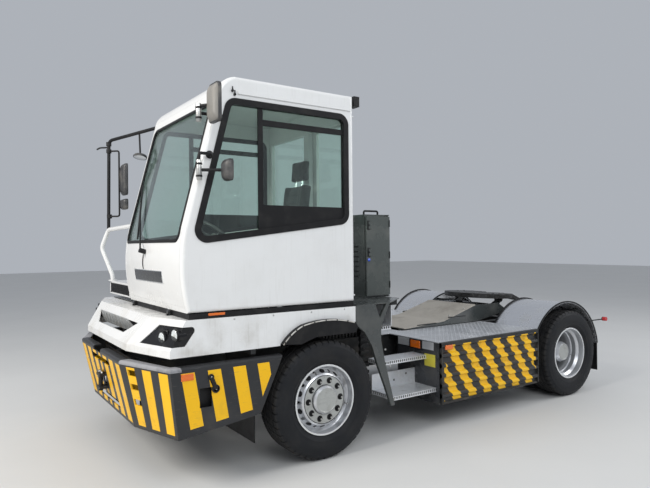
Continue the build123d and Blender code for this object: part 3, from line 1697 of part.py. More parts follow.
horn_slope = [
    (-270, plate_rise + 1),
    (-270, plate_rise),
    (-horn_reach - 1, plate_rise - horn_drop),
    (-horn_reach - 1, plate_rise + 1),
]
horn_body = [
    (-270, plate_low - rib_depth),
    (-270, plate_rise),
    (-horn_reach, plate_rise - horn_drop),
    (-horn_reach, plate_rise - horn_drop - plate_wall),
    (-400, plate_low - rib_depth - 20),
]
with BuildPart() as horns:
    add(plate_form(0, plate_low - rib_depth - 60, plate_rise))
    add(slab(horn_body, -horn_half, horn_half), mode=Mode.INTERSECT)
with BuildPart() as level_plate:
    add(plate_form(0, plate_low - rib_depth, plate_rise))
    add(plate_form(18, plate_low - rib_depth - 1, plate_low), mode=Mode.SUBTRACT)
    for x in (-150, 150):
        block((x - 7, x + 7), (60, 400), (plate_low - rib_depth + 6, plate_low))
        block((x - 7, x + 7), (-400, -60), (plate_low - rib_depth + 6, plate_low))
    add(horns.part)
    add(slab(horn_slope, -horn_half - 1, horn_half + 1), mode=Mode.SUBTRACT)
    block((-100, 105), (-100, 100), (plate_low - rib_depth - 1, plate_low), mode=Mode.SUBTRACT)
    for side in (1, -1):
        inner, outer = side * lug_y[0], side * lug_y[1]
        block((-38, 38), (inner, outer), (0, plate_low))
        rod((0, inner, 0), (0, outer, 0), 38)
        rod((0, side * (arm_inner_y + 2), 0), (0, outer, 0), pivot_pin_radius)
level_place = Location((wheel_pivot_x, 0, wheel_pivot_z), (0, -plate_rest_tilt, 0))
fifth_wheel = level_plate.part.moved(level_place)
keep(fifth_wheel, "fifth_wheel")

with BuildPart() as level_jaw:
    block((-80, 85), (-88, 88), (plate_low - jaw_height, plate_low))
    chamfer(level_jaw.edges().filter_by(Axis.Z), 22)
    with BuildSketch(Plane.XY.offset(plate_low - jaw_height - 1)):
        Circle(jaw_radius)
        with Locations((-60, 0)):
            Rectangle(120, 2 * jaw_radius)
    extrude(amount=jaw_height + 2, mode=Mode.SUBTRACT)
kingpin_jaw = level_jaw.part.moved(level_place)
keep(kingpin_jaw, "kingpin_jaw")

# Cabinet on the landing behind the cab, its left side closed by a door on two pins
door_y = (cabinet_left - cabinet_door_wall, cabinet_left)
cabinet_side_y = door_y[0] - 12
cabinet_low = landing_z
door_axis = (cabinet_rear_x + 14, sum(door_y) / 2)
door_pin = 6
door_z = (cabinet_low + 20, cabinet_top - 20)
with BuildPart() as cabinet:
    block((cabinet_rear_x, cabinet_front_x), (cabinet_right, cabinet_side_y), (cabinet_low, cabinet_top))
    block(
        (cabinet_rear_x + cabinet_wall, cabinet_front_x - cabinet_wall),
        (cabinet_right + cabinet_wall, cabinet_side_y + 1),
        (cabinet_low + cabinet_wall, cabinet_top - cabinet_wall),
        mode=Mode.SUBTRACT,
    )
    for z, pin_end in ((cabinet_low + 6, door_z[0] + 22), (cabinet_top - 6, door_z[1] - 22)):
        block((door_axis[0] - 10, door_axis[0] + 10), (cabinet_side_y, door_axis[1] + 10), (z - 5, z + 5))
        rod((door_axis[0], door_axis[1], z), (door_axis[0], door_axis[1], pin_end), door_pin)
keep(cabinet.part, "cabinet")

with BuildPart() as cabinet_door:
    block((cabinet_rear_x, cabinet_front_x), door_y, door_z)
    vertical = cabinet_door.edges().filter_by(Axis.Z)
    fillet(vertical.group_by(Axis.X)[-1], 6)
    rod((*door_axis, door_z[0] - 1), (*door_axis, door_z[0] + 25), door_pin + fit, mode=Mode.SUBTRACT)
    rod((*door_axis, door_z[1] - 25), (*door_axis, door_z[1] + 1), door_pin + fit, mode=Mode.SUBTRACT)
    for z in (cabinet_low + 455, cabinet_low + 725):
        block((cabinet_front_x - 60, cabinet_front_x - 20), (door_y[1], door_y[1] + 10), (z - 35, z + 35))
keep(cabinet_door.part, "cabinet_door")


# Wiper on the windscreen, its pivot below the glass
def on_screen(across, up, lift):
    """A point beside the windscreen's slope, in its own plane."""
    along_glass = screen_plane.x_dir * across + screen_plane.y_dir * up
    point = screen_plane.origin + along_glass + screen_plane.z_dir * lift
    return (point.X, point.Y, point.Z)


glass_half = (screen_high - screen_low) / screen_slope.Z / 2
wiper_pivot = (40, -glass_half - 80)
wiper_blade = ((-135, -glass_half + 20, 14), (-570, 0, -10))
blade_middle = tuple(sum(ends) / 2 for ends in zip(*wiper_blade))
with BuildPart() as wiper:
    rod(on_screen(*wiper_pivot, -45), on_screen(*wiper_pivot, 24), 20)
    rod(on_screen(*wiper_pivot, 16), on_screen(*blade_middle), 7)
    rod(on_screen(*wiper_blade[0]), on_screen(*wiper_blade[1]), 8)
    add(cab_front.part, mode=Mode.SUBTRACT)
keep(wiper.part, "wiper")

# Work lamps at the rear corners of the roof
with BuildPart() as work_lamps:
    for y in (cab_left - 100, cab_right + 100):
        block((cab_rear_x - 60, cab_rear_x), (y - 12, y + 12), (cab_roof_z - 75, cab_roof_z - 60))
        block((cab_rear_x - 110, cab_rear_x - 50), (y - 45, y + 45), (cab_roof_z - 70, cab_roof_z + 20))
keep(work_lamps.part, "work_lamps")
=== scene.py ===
import json
import math

import bmesh
import bpy
from mathutils import Matrix, Vector


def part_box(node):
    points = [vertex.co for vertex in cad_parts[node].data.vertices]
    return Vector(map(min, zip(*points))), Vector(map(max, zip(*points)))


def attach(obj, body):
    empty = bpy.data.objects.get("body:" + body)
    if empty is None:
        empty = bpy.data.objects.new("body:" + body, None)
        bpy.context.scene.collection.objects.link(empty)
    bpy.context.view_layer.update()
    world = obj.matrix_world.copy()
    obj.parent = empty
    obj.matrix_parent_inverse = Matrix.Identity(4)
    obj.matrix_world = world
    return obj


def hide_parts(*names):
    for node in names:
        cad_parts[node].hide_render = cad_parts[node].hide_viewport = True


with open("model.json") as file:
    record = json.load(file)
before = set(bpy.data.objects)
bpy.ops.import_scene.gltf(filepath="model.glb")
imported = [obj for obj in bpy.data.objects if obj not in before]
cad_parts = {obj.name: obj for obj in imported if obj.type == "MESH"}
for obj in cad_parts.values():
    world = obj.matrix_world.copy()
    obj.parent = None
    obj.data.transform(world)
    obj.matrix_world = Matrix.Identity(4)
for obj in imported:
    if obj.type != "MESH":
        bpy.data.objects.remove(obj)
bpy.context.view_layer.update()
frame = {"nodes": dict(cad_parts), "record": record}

# Ladder frame
# Two pressed steel channels with box-section members welded between them, sprayed in a
# satin charcoal chassis paint. Hexagon bolts hold the brackets to the webs.


class Paint:
    """One value or colour on its way through a material. Arithmetic on it adds the nodes."""

    def __init__(self, tree, socket=None):
        self.tree = tree
        self.socket = socket

    def node(self, kind, settings=None, sockets=None, out=0):
        node = self.tree.nodes.new("ShaderNode" + kind)
        for name, value in (settings or {}).items():
            setattr(node, name, value)
        for name, value in (sockets or {}).items():
            entry = node.inputs[name]
            if isinstance(value, Paint):
                self.tree.links.new(value.socket, entry)
            elif entry.type == "RGBA" and len(value) == 3:
                entry.default_value = (*value, 1)
            else:
                entry.default_value = value
        return Paint(self.tree, node.outputs[out] if out is not None else None)

    def sum(self, operation, first, second=0.0):
        return self.node("Math", {"operation": operation}, {0: first, 1: second})

    def __add__(self, other):
        return self.sum("ADD", self, other)

    __radd__ = __add__

    def __sub__(self, other):
        return self.sum("SUBTRACT", self, other)

    def __rsub__(self, other):
        return self.sum("SUBTRACT", other, self)

    def __mul__(self, other):
        return self.sum("MULTIPLY", self, other)

    __rmul__ = __mul__

    def __truediv__(self, other):
        return self.sum("DIVIDE", self, other)

    def __mod__(self, other):
        return self.sum("FLOORED_MODULO", self, other)

    def __lt__(self, other):
        return self.sum("LESS_THAN", self, other)

    def __gt__(self, other):
        return self.sum("GREATER_THAN", self, other)


def mix(mask, under, over):
    """One colour laid over another where the mask is 1."""
    return mask.node("Mix", {"data_type": "RGBA"}, {0: mask, 6: under, 7: over}, 2)


def ramp(value, low, high):
    """0 below low, 1 above high, and a smooth rise between them."""
    span = {"Value": value, "From Min": low, "From Max": high}
    return value.node("MapRange", {"interpolation_type": "SMOOTHSTEP"}, span)


def stretched(place, x, y, z):
    """The same place on a surface, read at another scale along each axis."""
    return place.node("VectorMath", {"operation": "MULTIPLY"}, {0: place, 1: (x, y, z)})


def cloud(place, scale, detail=3.0, roughness=0.55):
    """Uneven noise, so many waves to a metre."""
    noise = {"Vector": place, "Scale": scale, "Detail": detail, "Roughness": roughness}
    return place.node("TexNoise", {}, noise)


def patches(place, low, high, *noise):
    """Uneven noise cut down to patches: 0 where it is below low, 1 where it is above high."""
    return ramp(cloud(place, *noise), low, high)


def wave(value):
    """A sine wave along a value."""
    return value.node("Math", {"operation": "SINE"}, {0: value})


def axes(place):
    """X, Y and Z of a place on a surface, in metres."""
    outputs = place.node("SeparateXYZ", {}, {0: place}).socket.node.outputs
    return [Paint(place.tree, output) for output in outputs]


def outward(value):
    """How far a place lies from the machine's middle plane."""
    return value.node("Math", {"operation": "ABSOLUTE"}, {0: value})


def rounded(place, radius):
    """The surface's direction, with every hard edge rounded off."""
    return place.node("Bevel", {"samples": 4}, {"Radius": radius})


def worn_edges(place, radius, low=0.02, high=0.2):
    """1 along the edges of a shape, where paint rubs off first."""
    directions = {0: rounded(place, radius), 1: place.node("NewGeometry", {}, {}, "Normal")}
    along = place.node("VectorMath", {"operation": "DOT_PRODUCT"}, directions, "Value")
    return ramp(1 - along, low, high)


def coat(colour, roughness, height, depth, soft=None, **more):
    """A finish: colour and gloss, a relief so deep, and edges that look so round."""
    sockets = {"Base Color": colour, "Roughness": roughness, "relief": (height, depth, soft)}
    sockets.update((name.replace("_", " "), value) for name, value in more.items())
    return sockets


def surface(name):
    """Make the recipe below into a material. It reads the place on the surface."""

    def make(recipe):
        material = bpy.data.materials.new(name)
        material.use_nodes = True
        material.node_tree.nodes.clear()
        place = Paint(material.node_tree).node("TexCoord", out="Object")
        sockets = recipe(place)
        height, depth, soft = sockets.pop("relief")
        relief = {"Height": height, "Distance": depth}
        if soft:
            relief["Normal"] = rounded(place, soft)
        sockets["Normal"] = place.node("Bump", {}, relief)
        shader = place.node("BsdfPrincipled", {}, sockets)
        place.node("OutputMaterial", {}, {"Surface": shader}, None)
        return material

    return make


def dress(material, *nodes):
    """Give CAD nodes one finish."""
    for node in nodes:
        for slot in frame["nodes"][node].material_slots:
            slot.material = material


def blanks(count):
    """Empty meshes to build pieces in."""
    return [bmesh.new() for _ in range(count)]


def plank(bm, low, high):
    """A box between two corners."""
    middle = Matrix.Translation([(a + b) / 2 for a, b in zip(low, high)])
    size = Matrix.Diagonal([abs(b - a) for a, b in zip(low, high)] + [1])
    bmesh.ops.create_cube(bm, size=1, matrix=middle @ size)


def planks(bm, side, *rows):
    """Boxes on one side of the machine, each from X, Y, Z to X, Y, Z."""
    for x, y, z, far_x, far_y, far_z in rows:
        plank(bm, (x, side * y, z), (far_x, side * far_y, far_z))


def bar(bm, start, end, radius, sides=24, tip=None):
    """A round or faceted bar between two points."""
    start, end = Vector(start), Vector(end)
    run = end - start
    turn = run.to_track_quat("Z", "Y").to_matrix().to_4x4()
    bmesh.ops.create_cone(
        bm,
        cap_ends=True,
        segments=sides,
        radius1=radius,
        radius2=radius if tip is None else tip,
        depth=run.length,
        matrix=Matrix.Translation((start + end) / 2) @ turn,
    )


def bolt(bm, head, out, size):
    """A hexagon bolt head on its washer, standing out from a face."""
    out = Vector(out).normalized()
    head = Vector(head)
    bar(bm, head - out * size * 0.2, head + out * size * 0.16, size * 1.05, 20)
    bar(bm, head, head + out * size * 0.7, size * 0.86, 6, size * 0.8)


def skin(bm, rings, closed=False, capped=False):
    """Faces round and round between rings of corners, which may narrow to a single point."""
    for first, second in zip(rings, rings[1:] + rings[:1] * closed):
        for here in range(max(len(first), len(second))):
            corners = [first[here % len(first)], first[(here + 1) % len(first)]]
            corners += [second[(here + 1) % len(second)], second[here % len(second)]]
            bm.faces.new(dict.fromkeys(corners))
    if capped:
        bm.faces.new(rings[0])
        bm.faces.new(reversed(rings[-1]))


def laid(bm, points):
    """Corners at these points."""
    return [bm.verts.new(point) for point in points]


def piece(name, bm, body, material, bevel=0.0, crease=35):
    """Make a piece of the machine from its mesh: rounded edges, one finish, and its body."""
    bmesh.ops.recalc_face_normals(bm, faces=bm.faces)
    mesh = bpy.data.meshes.new(name)
    bm.to_mesh(mesh)
    bm.free()
    mesh.shade_smooth()
    mesh.set_sharp_from_angle(angle=math.radians(crease))
    made = bpy.data.objects.new(name, mesh)
    bpy.context.scene.collection.objects.link(made)
    made.data.materials.append(material)
    if bevel:
        edge = made.modifiers.new("rounded", "BEVEL")
        edge.width = bevel
        edge.segments = 2
        edge.angle_limit = math.radians(40)
    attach(made, body)
    return made


@surface("chassis_paint")
def charcoal(place):
    grime = patches(place, 0.45, 0.72, 5, 8) * (1 - ramp(axes(place)[2], 0.5, 1.0)) * 0.75
    chips = worn_edges(place, 0.004) * patches(place, 0.5, 0.62, 60, 4)
    colour = mix(cloud(place, 2.5), (0.016, 0.017, 0.018), (0.028, 0.029, 0.030))
    colour = mix(grime, colour, (0.115, 0.100, 0.082))
    colour = mix(chips, colour, (0.19, 0.17, 0.15))
    gloss = 0.42 + 0.35 * grime + 0.1 * cloud(place, 30)
    return coat(colour, gloss, cloud(place, 900, 2), 0.0002, 0.003, Specular_IOR_Level=0.3)


dress(charcoal, "frame_rails", "frame_crossmembers", "outriggers", "lift_mounts", "cab_supports")

bolts = bmesh.new()
rail_y = 0.430
for side in (1, -1):
    for x in (2.60, 1.79, 0.84, 0.35, -0.02, -0.36, -0.90, -1.30, -1.85, -2.46, -2.83):
        for z in (0.625, 0.705, 0.785):
            bolt(bolts, (x, side * rail_y, z), (0, side, 0), 0.011)
piece("rail_bolts", bolts, "chassis", charcoal)

# Front bumper
# Heavy steel plate folded into three facets, its top edge rolled over and in. Sprayed dark
# grey, with leaning yellow bands painted on its faces, and holes cut for tow hooks and lamps.
rim_top = 0.905
facet_end = 1.238


@surface("bumper_paint")
def banded(place):
    x, y, z = axes(place)
    out = outward(y)
    along_side = (x + (rim_top - z) * 0.167 - 2.540) / 0.2045
    side_bands = ((along_side % 1) < 0.505) * (out > facet_end)
    facet_bands = (((out - 0.746) / 0.1835 % 1) < 0.535) * (out < facet_end) * (out > 0.70)
    nose_bands = (((out - 0.117) / 0.2075 % 1) < 0.61) * (out < 0.665)
    low = 0.452 + (2.81 - x) * 0.124 - 0.022 * (out < facet_end)
    room = (z < rim_top - 0.012) * (z > low) * (x + 0.467 * (z - 0.500) > 2.046)
    bands = (side_bands + facet_bands + nose_bands) * room
    scuffs = patches(stretched(place, 3, 3, 26), 0.60, 0.66, 5, 7, 0.65)
    chips = worn_edges(place, 0.005, 0.03, 0.25) * patches(place, 0.52, 0.60, 45, 5)
    # Painted highlight: a lighter band along the rolled top lip of the facets, where the edge catches the
    # light.
    lip_highlight = (z > rim_top) * (out > 0.667) * (x + 0.363 * out > 3.087)
    lip_highlight = lip_highlight * patches(place, 0.20, 0.50, 6, 6)
    grime = patches(place, 0.47, 0.75, 4, 9, 0.62) * (1 - ramp(z, 0.42, 0.86))
    tone = cloud(place, 3, 4)
    dark = mix(tone, (0.020, 0.021, 0.023), (0.032, 0.033, 0.036))
    colour = mix(bands, dark, mix(tone, (0.88, 0.47, 0.004), (0.92, 0.53, 0.010)))
    colour = mix(scuffs * 0.30, colour, (0.13, 0.12, 0.11))
    colour = mix(grime * 0.40, colour, (0.10, 0.088, 0.070))
    colour = mix(chips, colour, (0.17, 0.12, 0.09))
    colour = mix(lip_highlight * 0.75, colour, (0.40, 0.40, 0.42))
    gloss = 0.36 + 0.3 * grime + 0.2 * scuffs + 0.08 * cloud(place, 25)
    height = bands * 0.35 + 0.15 * cloud(place, 700, 2) - chips * 0.5
    return coat(colour, gloss, height, 0.0006, 0.006, Specular_IOR_Level=0.35)


dress(banded, "bumper")


def lens(name, colour, dust):
    """Ribbed plastic over a lamp or a reflector, a little dusty."""

    @surface(name)
    def material(place):
        x, y, z = axes(place)
        ribs = wave((x + y + 0.35 * z) * 700)
        specks = patches(place, 0.5, 0.75, 18, 7) * dust
        ribbed = mix(ramp(ribs, -0.8, 0.9), colour, [c * 0.62 for c in colour])
        colours = mix(specks, ribbed, (0.2, 0.17, 0.14))
        return coat(colours, 0.12 + 0.4 * specks, ribs, 0.0004, Coat_Weight=0.6)

    return material


orange_lens = lens("orange_lens", (0.95, 0.19, 0.012), 0.3)


@surface("zinc_plate")
def zinc(place):
    tarnish = cloud(place, 22, 6)
    rust = patches(place, 0.60, 0.74, 35, 8, 0.7)
    colour = mix(rust * 0.7, mix(tarnish, (0.42, 0.42, 0.41), (0.62, 0.62, 0.60)), (0.20, 0.085, 0.035))
    gloss = 0.26 + 0.22 * tarnish + 0.3 * rust
    return coat(colour, gloss, cloud(place, 400, 3), 0.0002, 0.001, Metallic=1 - rust * 0.8)


def grains(place, scale):
    """The fine grain that a mould leaves."""
    return place.node("TexVoronoi", {}, {"Vector": place, "Scale": scale})


@surface("black_plastic")
def black_plastic(place):
    dust = patches(place, 0.45, 0.8, 7, 8)
    colour = mix(dust * 0.25, (0.009, 0.009, 0.010), (0.070, 0.066, 0.061))
    gloss = 0.40 + 0.25 * dust + 0.1 * cloud(place, 60)
    return coat(colour, gloss, grains(place, 900.0), 0.0002, 0.002, Specular_IOR_Level=0.3)


side_markers, latches, side_studs, plate_bolts, hole_shade_plates, hole_brackets = blanks(6)
for side in (1, -1):
    planks(side_markers, side, (2.545, 1.243, 0.838, 2.640, 1.2495, 0.888))
    for x, z in ((2.412, 0.842), (2.376, 0.752)):
        bar(latches, (x, side * 1.243, z), (x, side * 1.2560, z), 0.023)
        bar(side_studs, (x, side * 1.2555, z), (x, side * 1.2620, z), 0.007)
    bar(latches, (2.412, side * 1.2520, 0.842), (2.376, side * 1.2520, 0.752), 0.017, 12)
    bar(latches, (2.376, side * 1.243, 0.752), (2.376, side * 1.2560, 0.752), 0.031)
for y in (-0.55, -0.33, 0.33, 0.55):
    for z in (0.62, 0.76):
        bolt(plate_bolts, (2.808 + (z - 0.40) / 0.535 * 0.12, y, z), (1, 0, -0.22), 0.008)
# Black plates set behind the bumper's holes as painted shade, so the holes read dark inside.
plank(hole_shade_plates, (2.755, -0.420, 0.440), (2.763, 0.420, 0.890))
for side in (1, -1):
    plan = ((2.714, 0.485), (2.640, 0.960), (2.632, 0.960), (2.706, 0.485))
    skin(hole_shade_plates, [laid(hole_shade_plates, [(x, side * y, z) for x, y in plan]) for z in (0.500, 0.895)], capped=True)
    planks(hole_brackets, side, (2.776, 0.812, 0.832, 2.838, 0.850, 0.842))
    planks(hole_shade_plates, side, (2.360, 1.180, 0.600, 2.550, 1.188, 0.800))
piece("bumper_markers", side_markers, "chassis", orange_lens, 0.003)
piece("bumper_latches", latches, "chassis", black_plastic, 0.002)
piece("latch_studs", side_studs, "chassis", zinc, 0.001)
piece("bumper_hole_shade", hole_shade_plates, "chassis", black_plastic)
piece("hole_brackets", hole_brackets, "chassis", charcoal, 0.002)
piece("bumper_bolts", plate_bolts, "chassis", zinc)

# Tow coupling
# Two thick steel ears welded to a block behind the nose plate. A bright turned pin drops
# through them, with a cross handle at its head and a small chain that keeps it.
dress(charcoal, "tow_coupling")
pin, chain = blanks(2)
pin_x = frame["record"]["mounts"][2]["pos_m"][0]
handle_z = 0.7252
bar(pin, (pin_x, 0, 0.565), (pin_x, 0, 0.742), 0.0187, 32)
bar(pin, (pin_x, 0, 0.728), (pin_x, 0, 0.741), 0.0225, 32)
bar(pin, (pin_x, -0.047, handle_z), (pin_x, 0.047, handle_z), 0.0086, 20)
for y in (0.048, -0.048):
    knob = Matrix.Translation((pin_x, y, handle_z))
    bmesh.ops.create_uvsphere(pin, u_segments=16, v_segments=10, radius=0.012, matrix=knob)
piece("tow_pin", pin, "chassis", zinc, 0.0015)
for link in range(9):
    share = link / 8
    sag = 0.018 * math.sin(math.pi * share)
    middle = Vector((2.845 + 0.042 * share, 0.018 + 0.026 * share, 0.745 - sag))
    turn = Matrix.Rotation(math.radians(90 * (link % 2)), 4, "X") @ Matrix.Diagonal((1.5, 1, 1, 1))
    angles = [math.tau * step / 12 for step in range(12)]
    ring = [middle + turn @ Vector((math.cos(angle), 0, math.sin(angle))) * 0.0042 for angle in angles]
    for here, beyond in zip(ring, ring[1:] + ring[:1]):
        bar(chain, here, beyond, 0.0012, 6)
piece("pin_chain", chain, "chassis", zinc)

# Front arches
# Thick moulded rubber lips over the front wheels. A pale edging strip holds each one against
# the skirt, and small dark clips press the strip down.


@surface("black_rubber")
def rubber(place):
    dust = patches(place, 0.45, 0.78, 9, 8, 0.6)
    colour = mix(dust * 0.3, (0.008, 0.008, 0.009), (0.062, 0.059, 0.055))
    return coat(colour, 0.50 + 0.3 * dust, cloud(place, 260, 4), 0.0005, 0.006, Specular_IOR_Level=0.25)


dress(rubber, "front_arches")


def arc(start, through, end, steps):
    """Points along the circle through three places."""
    (ax, ay), (bx, by), (cx, cy) = start, through, end
    double = 2 * (ax * (by - cy) + bx * (cy - ay) + cx * (ay - by))
    aa, bb, cc = ax * ax + ay * ay, bx * bx + by * by, cx * cx + cy * cy
    x = (aa * (by - cy) + bb * (cy - ay) + cc * (ay - by)) / double
    y = (aa * (cx - bx) + bb * (ax - cx) + cc * (bx - ax)) / double
    radius = math.hypot(ax - x, ay - y)
    turns = [math.atan2(py - y, px - x) for px, py in (start, through, end)]
    sweep = (turns[2] - turns[0]) % math.tau
    if (turns[1] - turns[0]) % math.tau > sweep:
        sweep -= math.tau
    spread = [turns[0] + sweep * step / steps for step in range(steps + 1)]
    return [(x + radius * math.cos(turn), y + radius * math.sin(turn)) for turn in spread]


def sideways(path, index, closed=False):
    """The unit vector across a flat path at one of its points."""
    last = len(path) - 1
    if closed:
        before, after = path[index - 1], path[(index + 1) % len(path)]
    else:
        before, after = path[max(index - 1, 0)], path[min(index + 1, last)]
    run = Vector((after[0] - before[0], after[1] - before[1])).normalized()
    return Vector((-run.y, run.x))


def strip(bm, path, width, *ends):
    """A flat strip along a path in X and Z, as wide as given, between two places along Y."""
    low, high = sorted(ends)
    rows = []
    for index, (x, z) in enumerate(path):
        across = sideways(path, index) * width
        far_x, far_z = x + across.x, z + across.y
        rows.append(laid(bm, [(x, low, z), (x, high, z), (far_x, high, far_z), (far_x, low, far_z)]))
    skin(bm, rows, capped=True)


arch_edge = arc((1.799, 1.014), (1.715, 1.096), (1.612, 1.153), 10)
arch_edge += arc((1.612, 1.153), (1.350, 1.181), (1.084, 1.137), 14)[1:]
edging, clips = blanks(2)
for side in (1, -1):
    strip(edging, arch_edge, 0.009, side * 1.2475, side * 1.2525)
    for index in range(1, len(arch_edge) - 1, 3):
        (x, z), (beyond_x, beyond_z) = arch_edge[index], arch_edge[index + 1]
        run = Vector((beyond_x - x, 0, beyond_z - z)).normalized()
        out = Vector((-run.z, 0, run.x))
        start = Vector((x, side * 1.2535, z)) - out * 0.003
        bar(clips, start, start + out * 0.016, 0.0062, 4)


@surface("pale_edging")
def pale_edging(place):
    dirt = patches(place, 0.42, 0.7, 14, 6)
    colour = mix(dirt, (0.62, 0.60, 0.56), (0.30, 0.28, 0.25))
    return coat(colour, 0.42 + 0.3 * dirt, cloud(place, 150, 3), 0.0003)


piece("arch_edging", edging, "chassis", pale_edging, 0.001)
piece("arch_clips", clips, "chassis", black_plastic, 0.001)

# White skirt
# A moulded panel in white gloss paint, wrapped round the front above the bumper and screwed
# to the rails. The air intake and the two lamp openings are cut through it.


def white_recipe(place):
    film = patches(place, 0.44, 0.72, 3.2, 8, 0.6)
    runs = patches(stretched(place, 26, 26, 1.6), 0.52, 0.75, 2, 5)
    low = 1 - ramp(axes(place)[2], 1.0, 1.5)
    soil = film * (0.10 + 0.45 * low) + runs * (0.08 + 0.10 * low)
    tone = mix(cloud(place, 1.3), (0.76, 0.765, 0.765), (0.82, 0.82, 0.81))
    colour = mix(soil, tone, (0.40, 0.375, 0.33))
    colour = mix(worn_edges(place, 0.006, 0.03, 0.4) * 0.12, colour, (0.50, 0.49, 0.47))
    gloss = 0.20 + 0.35 * soil + 0.06 * cloud(place, 14)
    height = cloud(place, 34, 2) + 0.12 * cloud(place, 420, 2)
    return coat(colour, gloss, height, 0.0005, 0.005, Coat_Weight=0.35 - 0.3 * film)


@surface("mill_grey")
def mill_grey(place):
    film = patches(place, 0.45, 0.75, 9, 7)
    colour = mix(film, (0.40, 0.41, 0.41), (0.24, 0.23, 0.21))
    gloss = 0.42 + 0.3 * film
    return coat(colour, gloss, cloud(place, 260, 3), 0.0003, 0.002, Metallic=0.45 - 0.4 * film)


white_paint = surface("white_paint")(white_recipe)
dress(white_paint, "front_skirt")

intake_panel, backing, skirt_screws = blanks(3)
corners = ((2.800, -0.500, 1.205), (2.770, -0.560, 1.098), (2.745, 0.520, 1.098), (2.790, 0.330, 1.205))
faces = [laid(intake_panel, [(x - back, y, z) for x, y, z in corners]) for back in (0.020, 0.032)]
skin(intake_panel, faces, capped=True)
for step in range(9):
    y = -0.440 + step * 0.100
    bar(intake_panel, (2.7805, y, 1.198), (2.7525, y, 1.105), 0.0032, 10)
plank(backing, (2.640, -0.66, 1.085), (2.648, 0.66, 1.235))
for side in (1, -1):
    for x in (1.16, 1.50, 1.86, 2.20):
        bar(skirt_screws, (x, side * 1.2045, 1.250), (x, side * 1.2080, 1.250), 0.008, 20, 0.006)
piece("intake_panel", intake_panel, "chassis", mill_grey, 0.001)
piece("intake_backing", backing, "chassis", black_plastic, 0.001)
piece("skirt_screws", skirt_screws, "chassis", zinc, 0.0008)

# Headlamps
# A black moulded pod in each corner with two round lamps: a bright bowl and a bulb behind a
# clear domed cover, each held by a ring.


@surface("chrome_bowl")
def chrome(place):
    haze = patches(place, 0.45, 0.75, 12, 6)
    colour = mix(haze, (0.86, 0.87, 0.88), (0.62, 0.62, 0.60))
    return coat(colour, 0.06 + 0.22 * haze, cloud(place, 120, 2), 0.0001, Metallic=1 - 0.25 * haze)


def clear_glass(name, tint, dusty):
    """Clear glass or plastic: mostly see-through, more mirror-like at a glancing angle."""
    material = bpy.data.materials.new(name)
    material.use_nodes = True
    material.node_tree.nodes.clear()
    material.surface_render_method = "BLENDED"
    place = Paint(material.node_tree).node("TexCoord", out="Object")
    clear = place.node("BsdfTransparent", {}, {"Color": tint})
    shine = place.node("BsdfGlossy", {}, {"Color": (0.92, 0.95, 0.95), "Roughness": 0.03})
    film = place.node("BsdfDiffuse", {}, {"Color": (0.36, 0.35, 0.33)})
    facing = place.node("LayerWeight", {}, {"Blend": 0.5}, "Facing")
    glance = 0.05 + 0.90 * facing * facing * facing * facing * facing
    seen = place.node("MixShader", {}, {0: glance, 1: clear, 2: shine})
    dust = patches(place, 0.42, 0.78, 5, 8, 0.6) * dusty
    seen = place.node("MixShader", {}, {0: dust, 1: seen, 2: film})
    place.node("OutputMaterial", {}, {"Surface": seen}, None)
    return material


def turned(bm, middle, out, profile, sides=48, closed=False):
    """A turned shape round an axis: pairs of radius and reach along the axis."""
    turn = Vector(out).normalized().to_track_quat("Z", "Y").to_matrix()
    middle = Vector(middle)
    rings = []
    for radius, reach in profile:
        angles = [math.tau * side / sides for side in range(sides)] if radius > 1e-6 else [0.0]
        ring = [Vector((radius * math.cos(angle), radius * math.sin(angle), reach)) for angle in angles]
        rings.append(laid(bm, [middle + turn @ spot for spot in ring]))
    skin(bm, rings, closed)


@surface("pod_gloss")
def pod_gloss(place):
    dust = patches(place, 0.5, 0.78, 13, 7)
    colour = mix(dust * 0.3, (0.008, 0.008, 0.009), (0.06, 0.058, 0.055))
    gloss, height = 0.12 + 0.3 * dust, cloud(place, 40, 2)
    return coat(colour, gloss, height, 0.0003, 0.003, Specular_IOR_Level=0.3, Coat_Weight=0.15)


@surface("frosted_bulb")
def frosted(place):
    colour = mix(cloud(place, 90, 3), (0.80, 0.79, 0.75), (0.62, 0.61, 0.57))
    return coat(colour, 0.15 + 0.1 * cloud(place, 40), cloud(place, 300, 2), 0.0002)


@surface("silvered_bowl")
def silvered(place):
    x, y, z = axes(place)
    colour = mix(cloud(place, 40, 3), (0.93, 0.94, 0.95), (0.80, 0.81, 0.82))
    gloss, flutes = 0.40 + 0.15 * cloud(place, 60), wave((y + 0.3 * x) * 520)
    return coat(colour, gloss, flutes, 0.0003, Metallic=0.05 + 0.1 * cloud(place, 25))


dress(pod_gloss, "headlamps")
rings, bowls, bulbs, covers = blanks(4)
for side in (1, -1):
    for x, y, z, proud in ((2.702, 1.024, 1.130, 0.077), (2.657, 1.152, 1.160, 0.070)):
        out = Vector((1, side * 0.17, 0)).normalized()
        face = Vector((x - 0.070, side * y, z)) + out * proud
        ring = [(0.050, -0.012), (0.050, 0.004), (0.047, 0.007), (0.042, 0.004), (0.042, -0.002)]
        turned(rings, face, out, ring)
        bowl = [(0.043, 0.0035), (0.036, 0.0018), (0.024, 0.0012), (0.012, 0.0008), (0, 0.0008)]
        turned(bowls, face, out, bowl)
        turned(bulbs, face, out, [(0.011, 0.0008), (0.011, 0.005), (0.007, 0.0085), (0, 0.0095)], 24)
        turned(covers, face, out, [(0.043, 0.005), (0.036, 0.0105), (0.020, 0.0135), (0, 0.0145)])
piece("lamp_rings", rings, "chassis", black_plastic, 0.0008)
piece("lamp_bowls", bowls, "chassis", silvered)
piece("lamp_bulbs", bulbs, "chassis", frosted)
piece("lamp_covers", covers, "chassis", clear_glass("clear_cover", (0.93, 0.95, 0.95), 0.10))

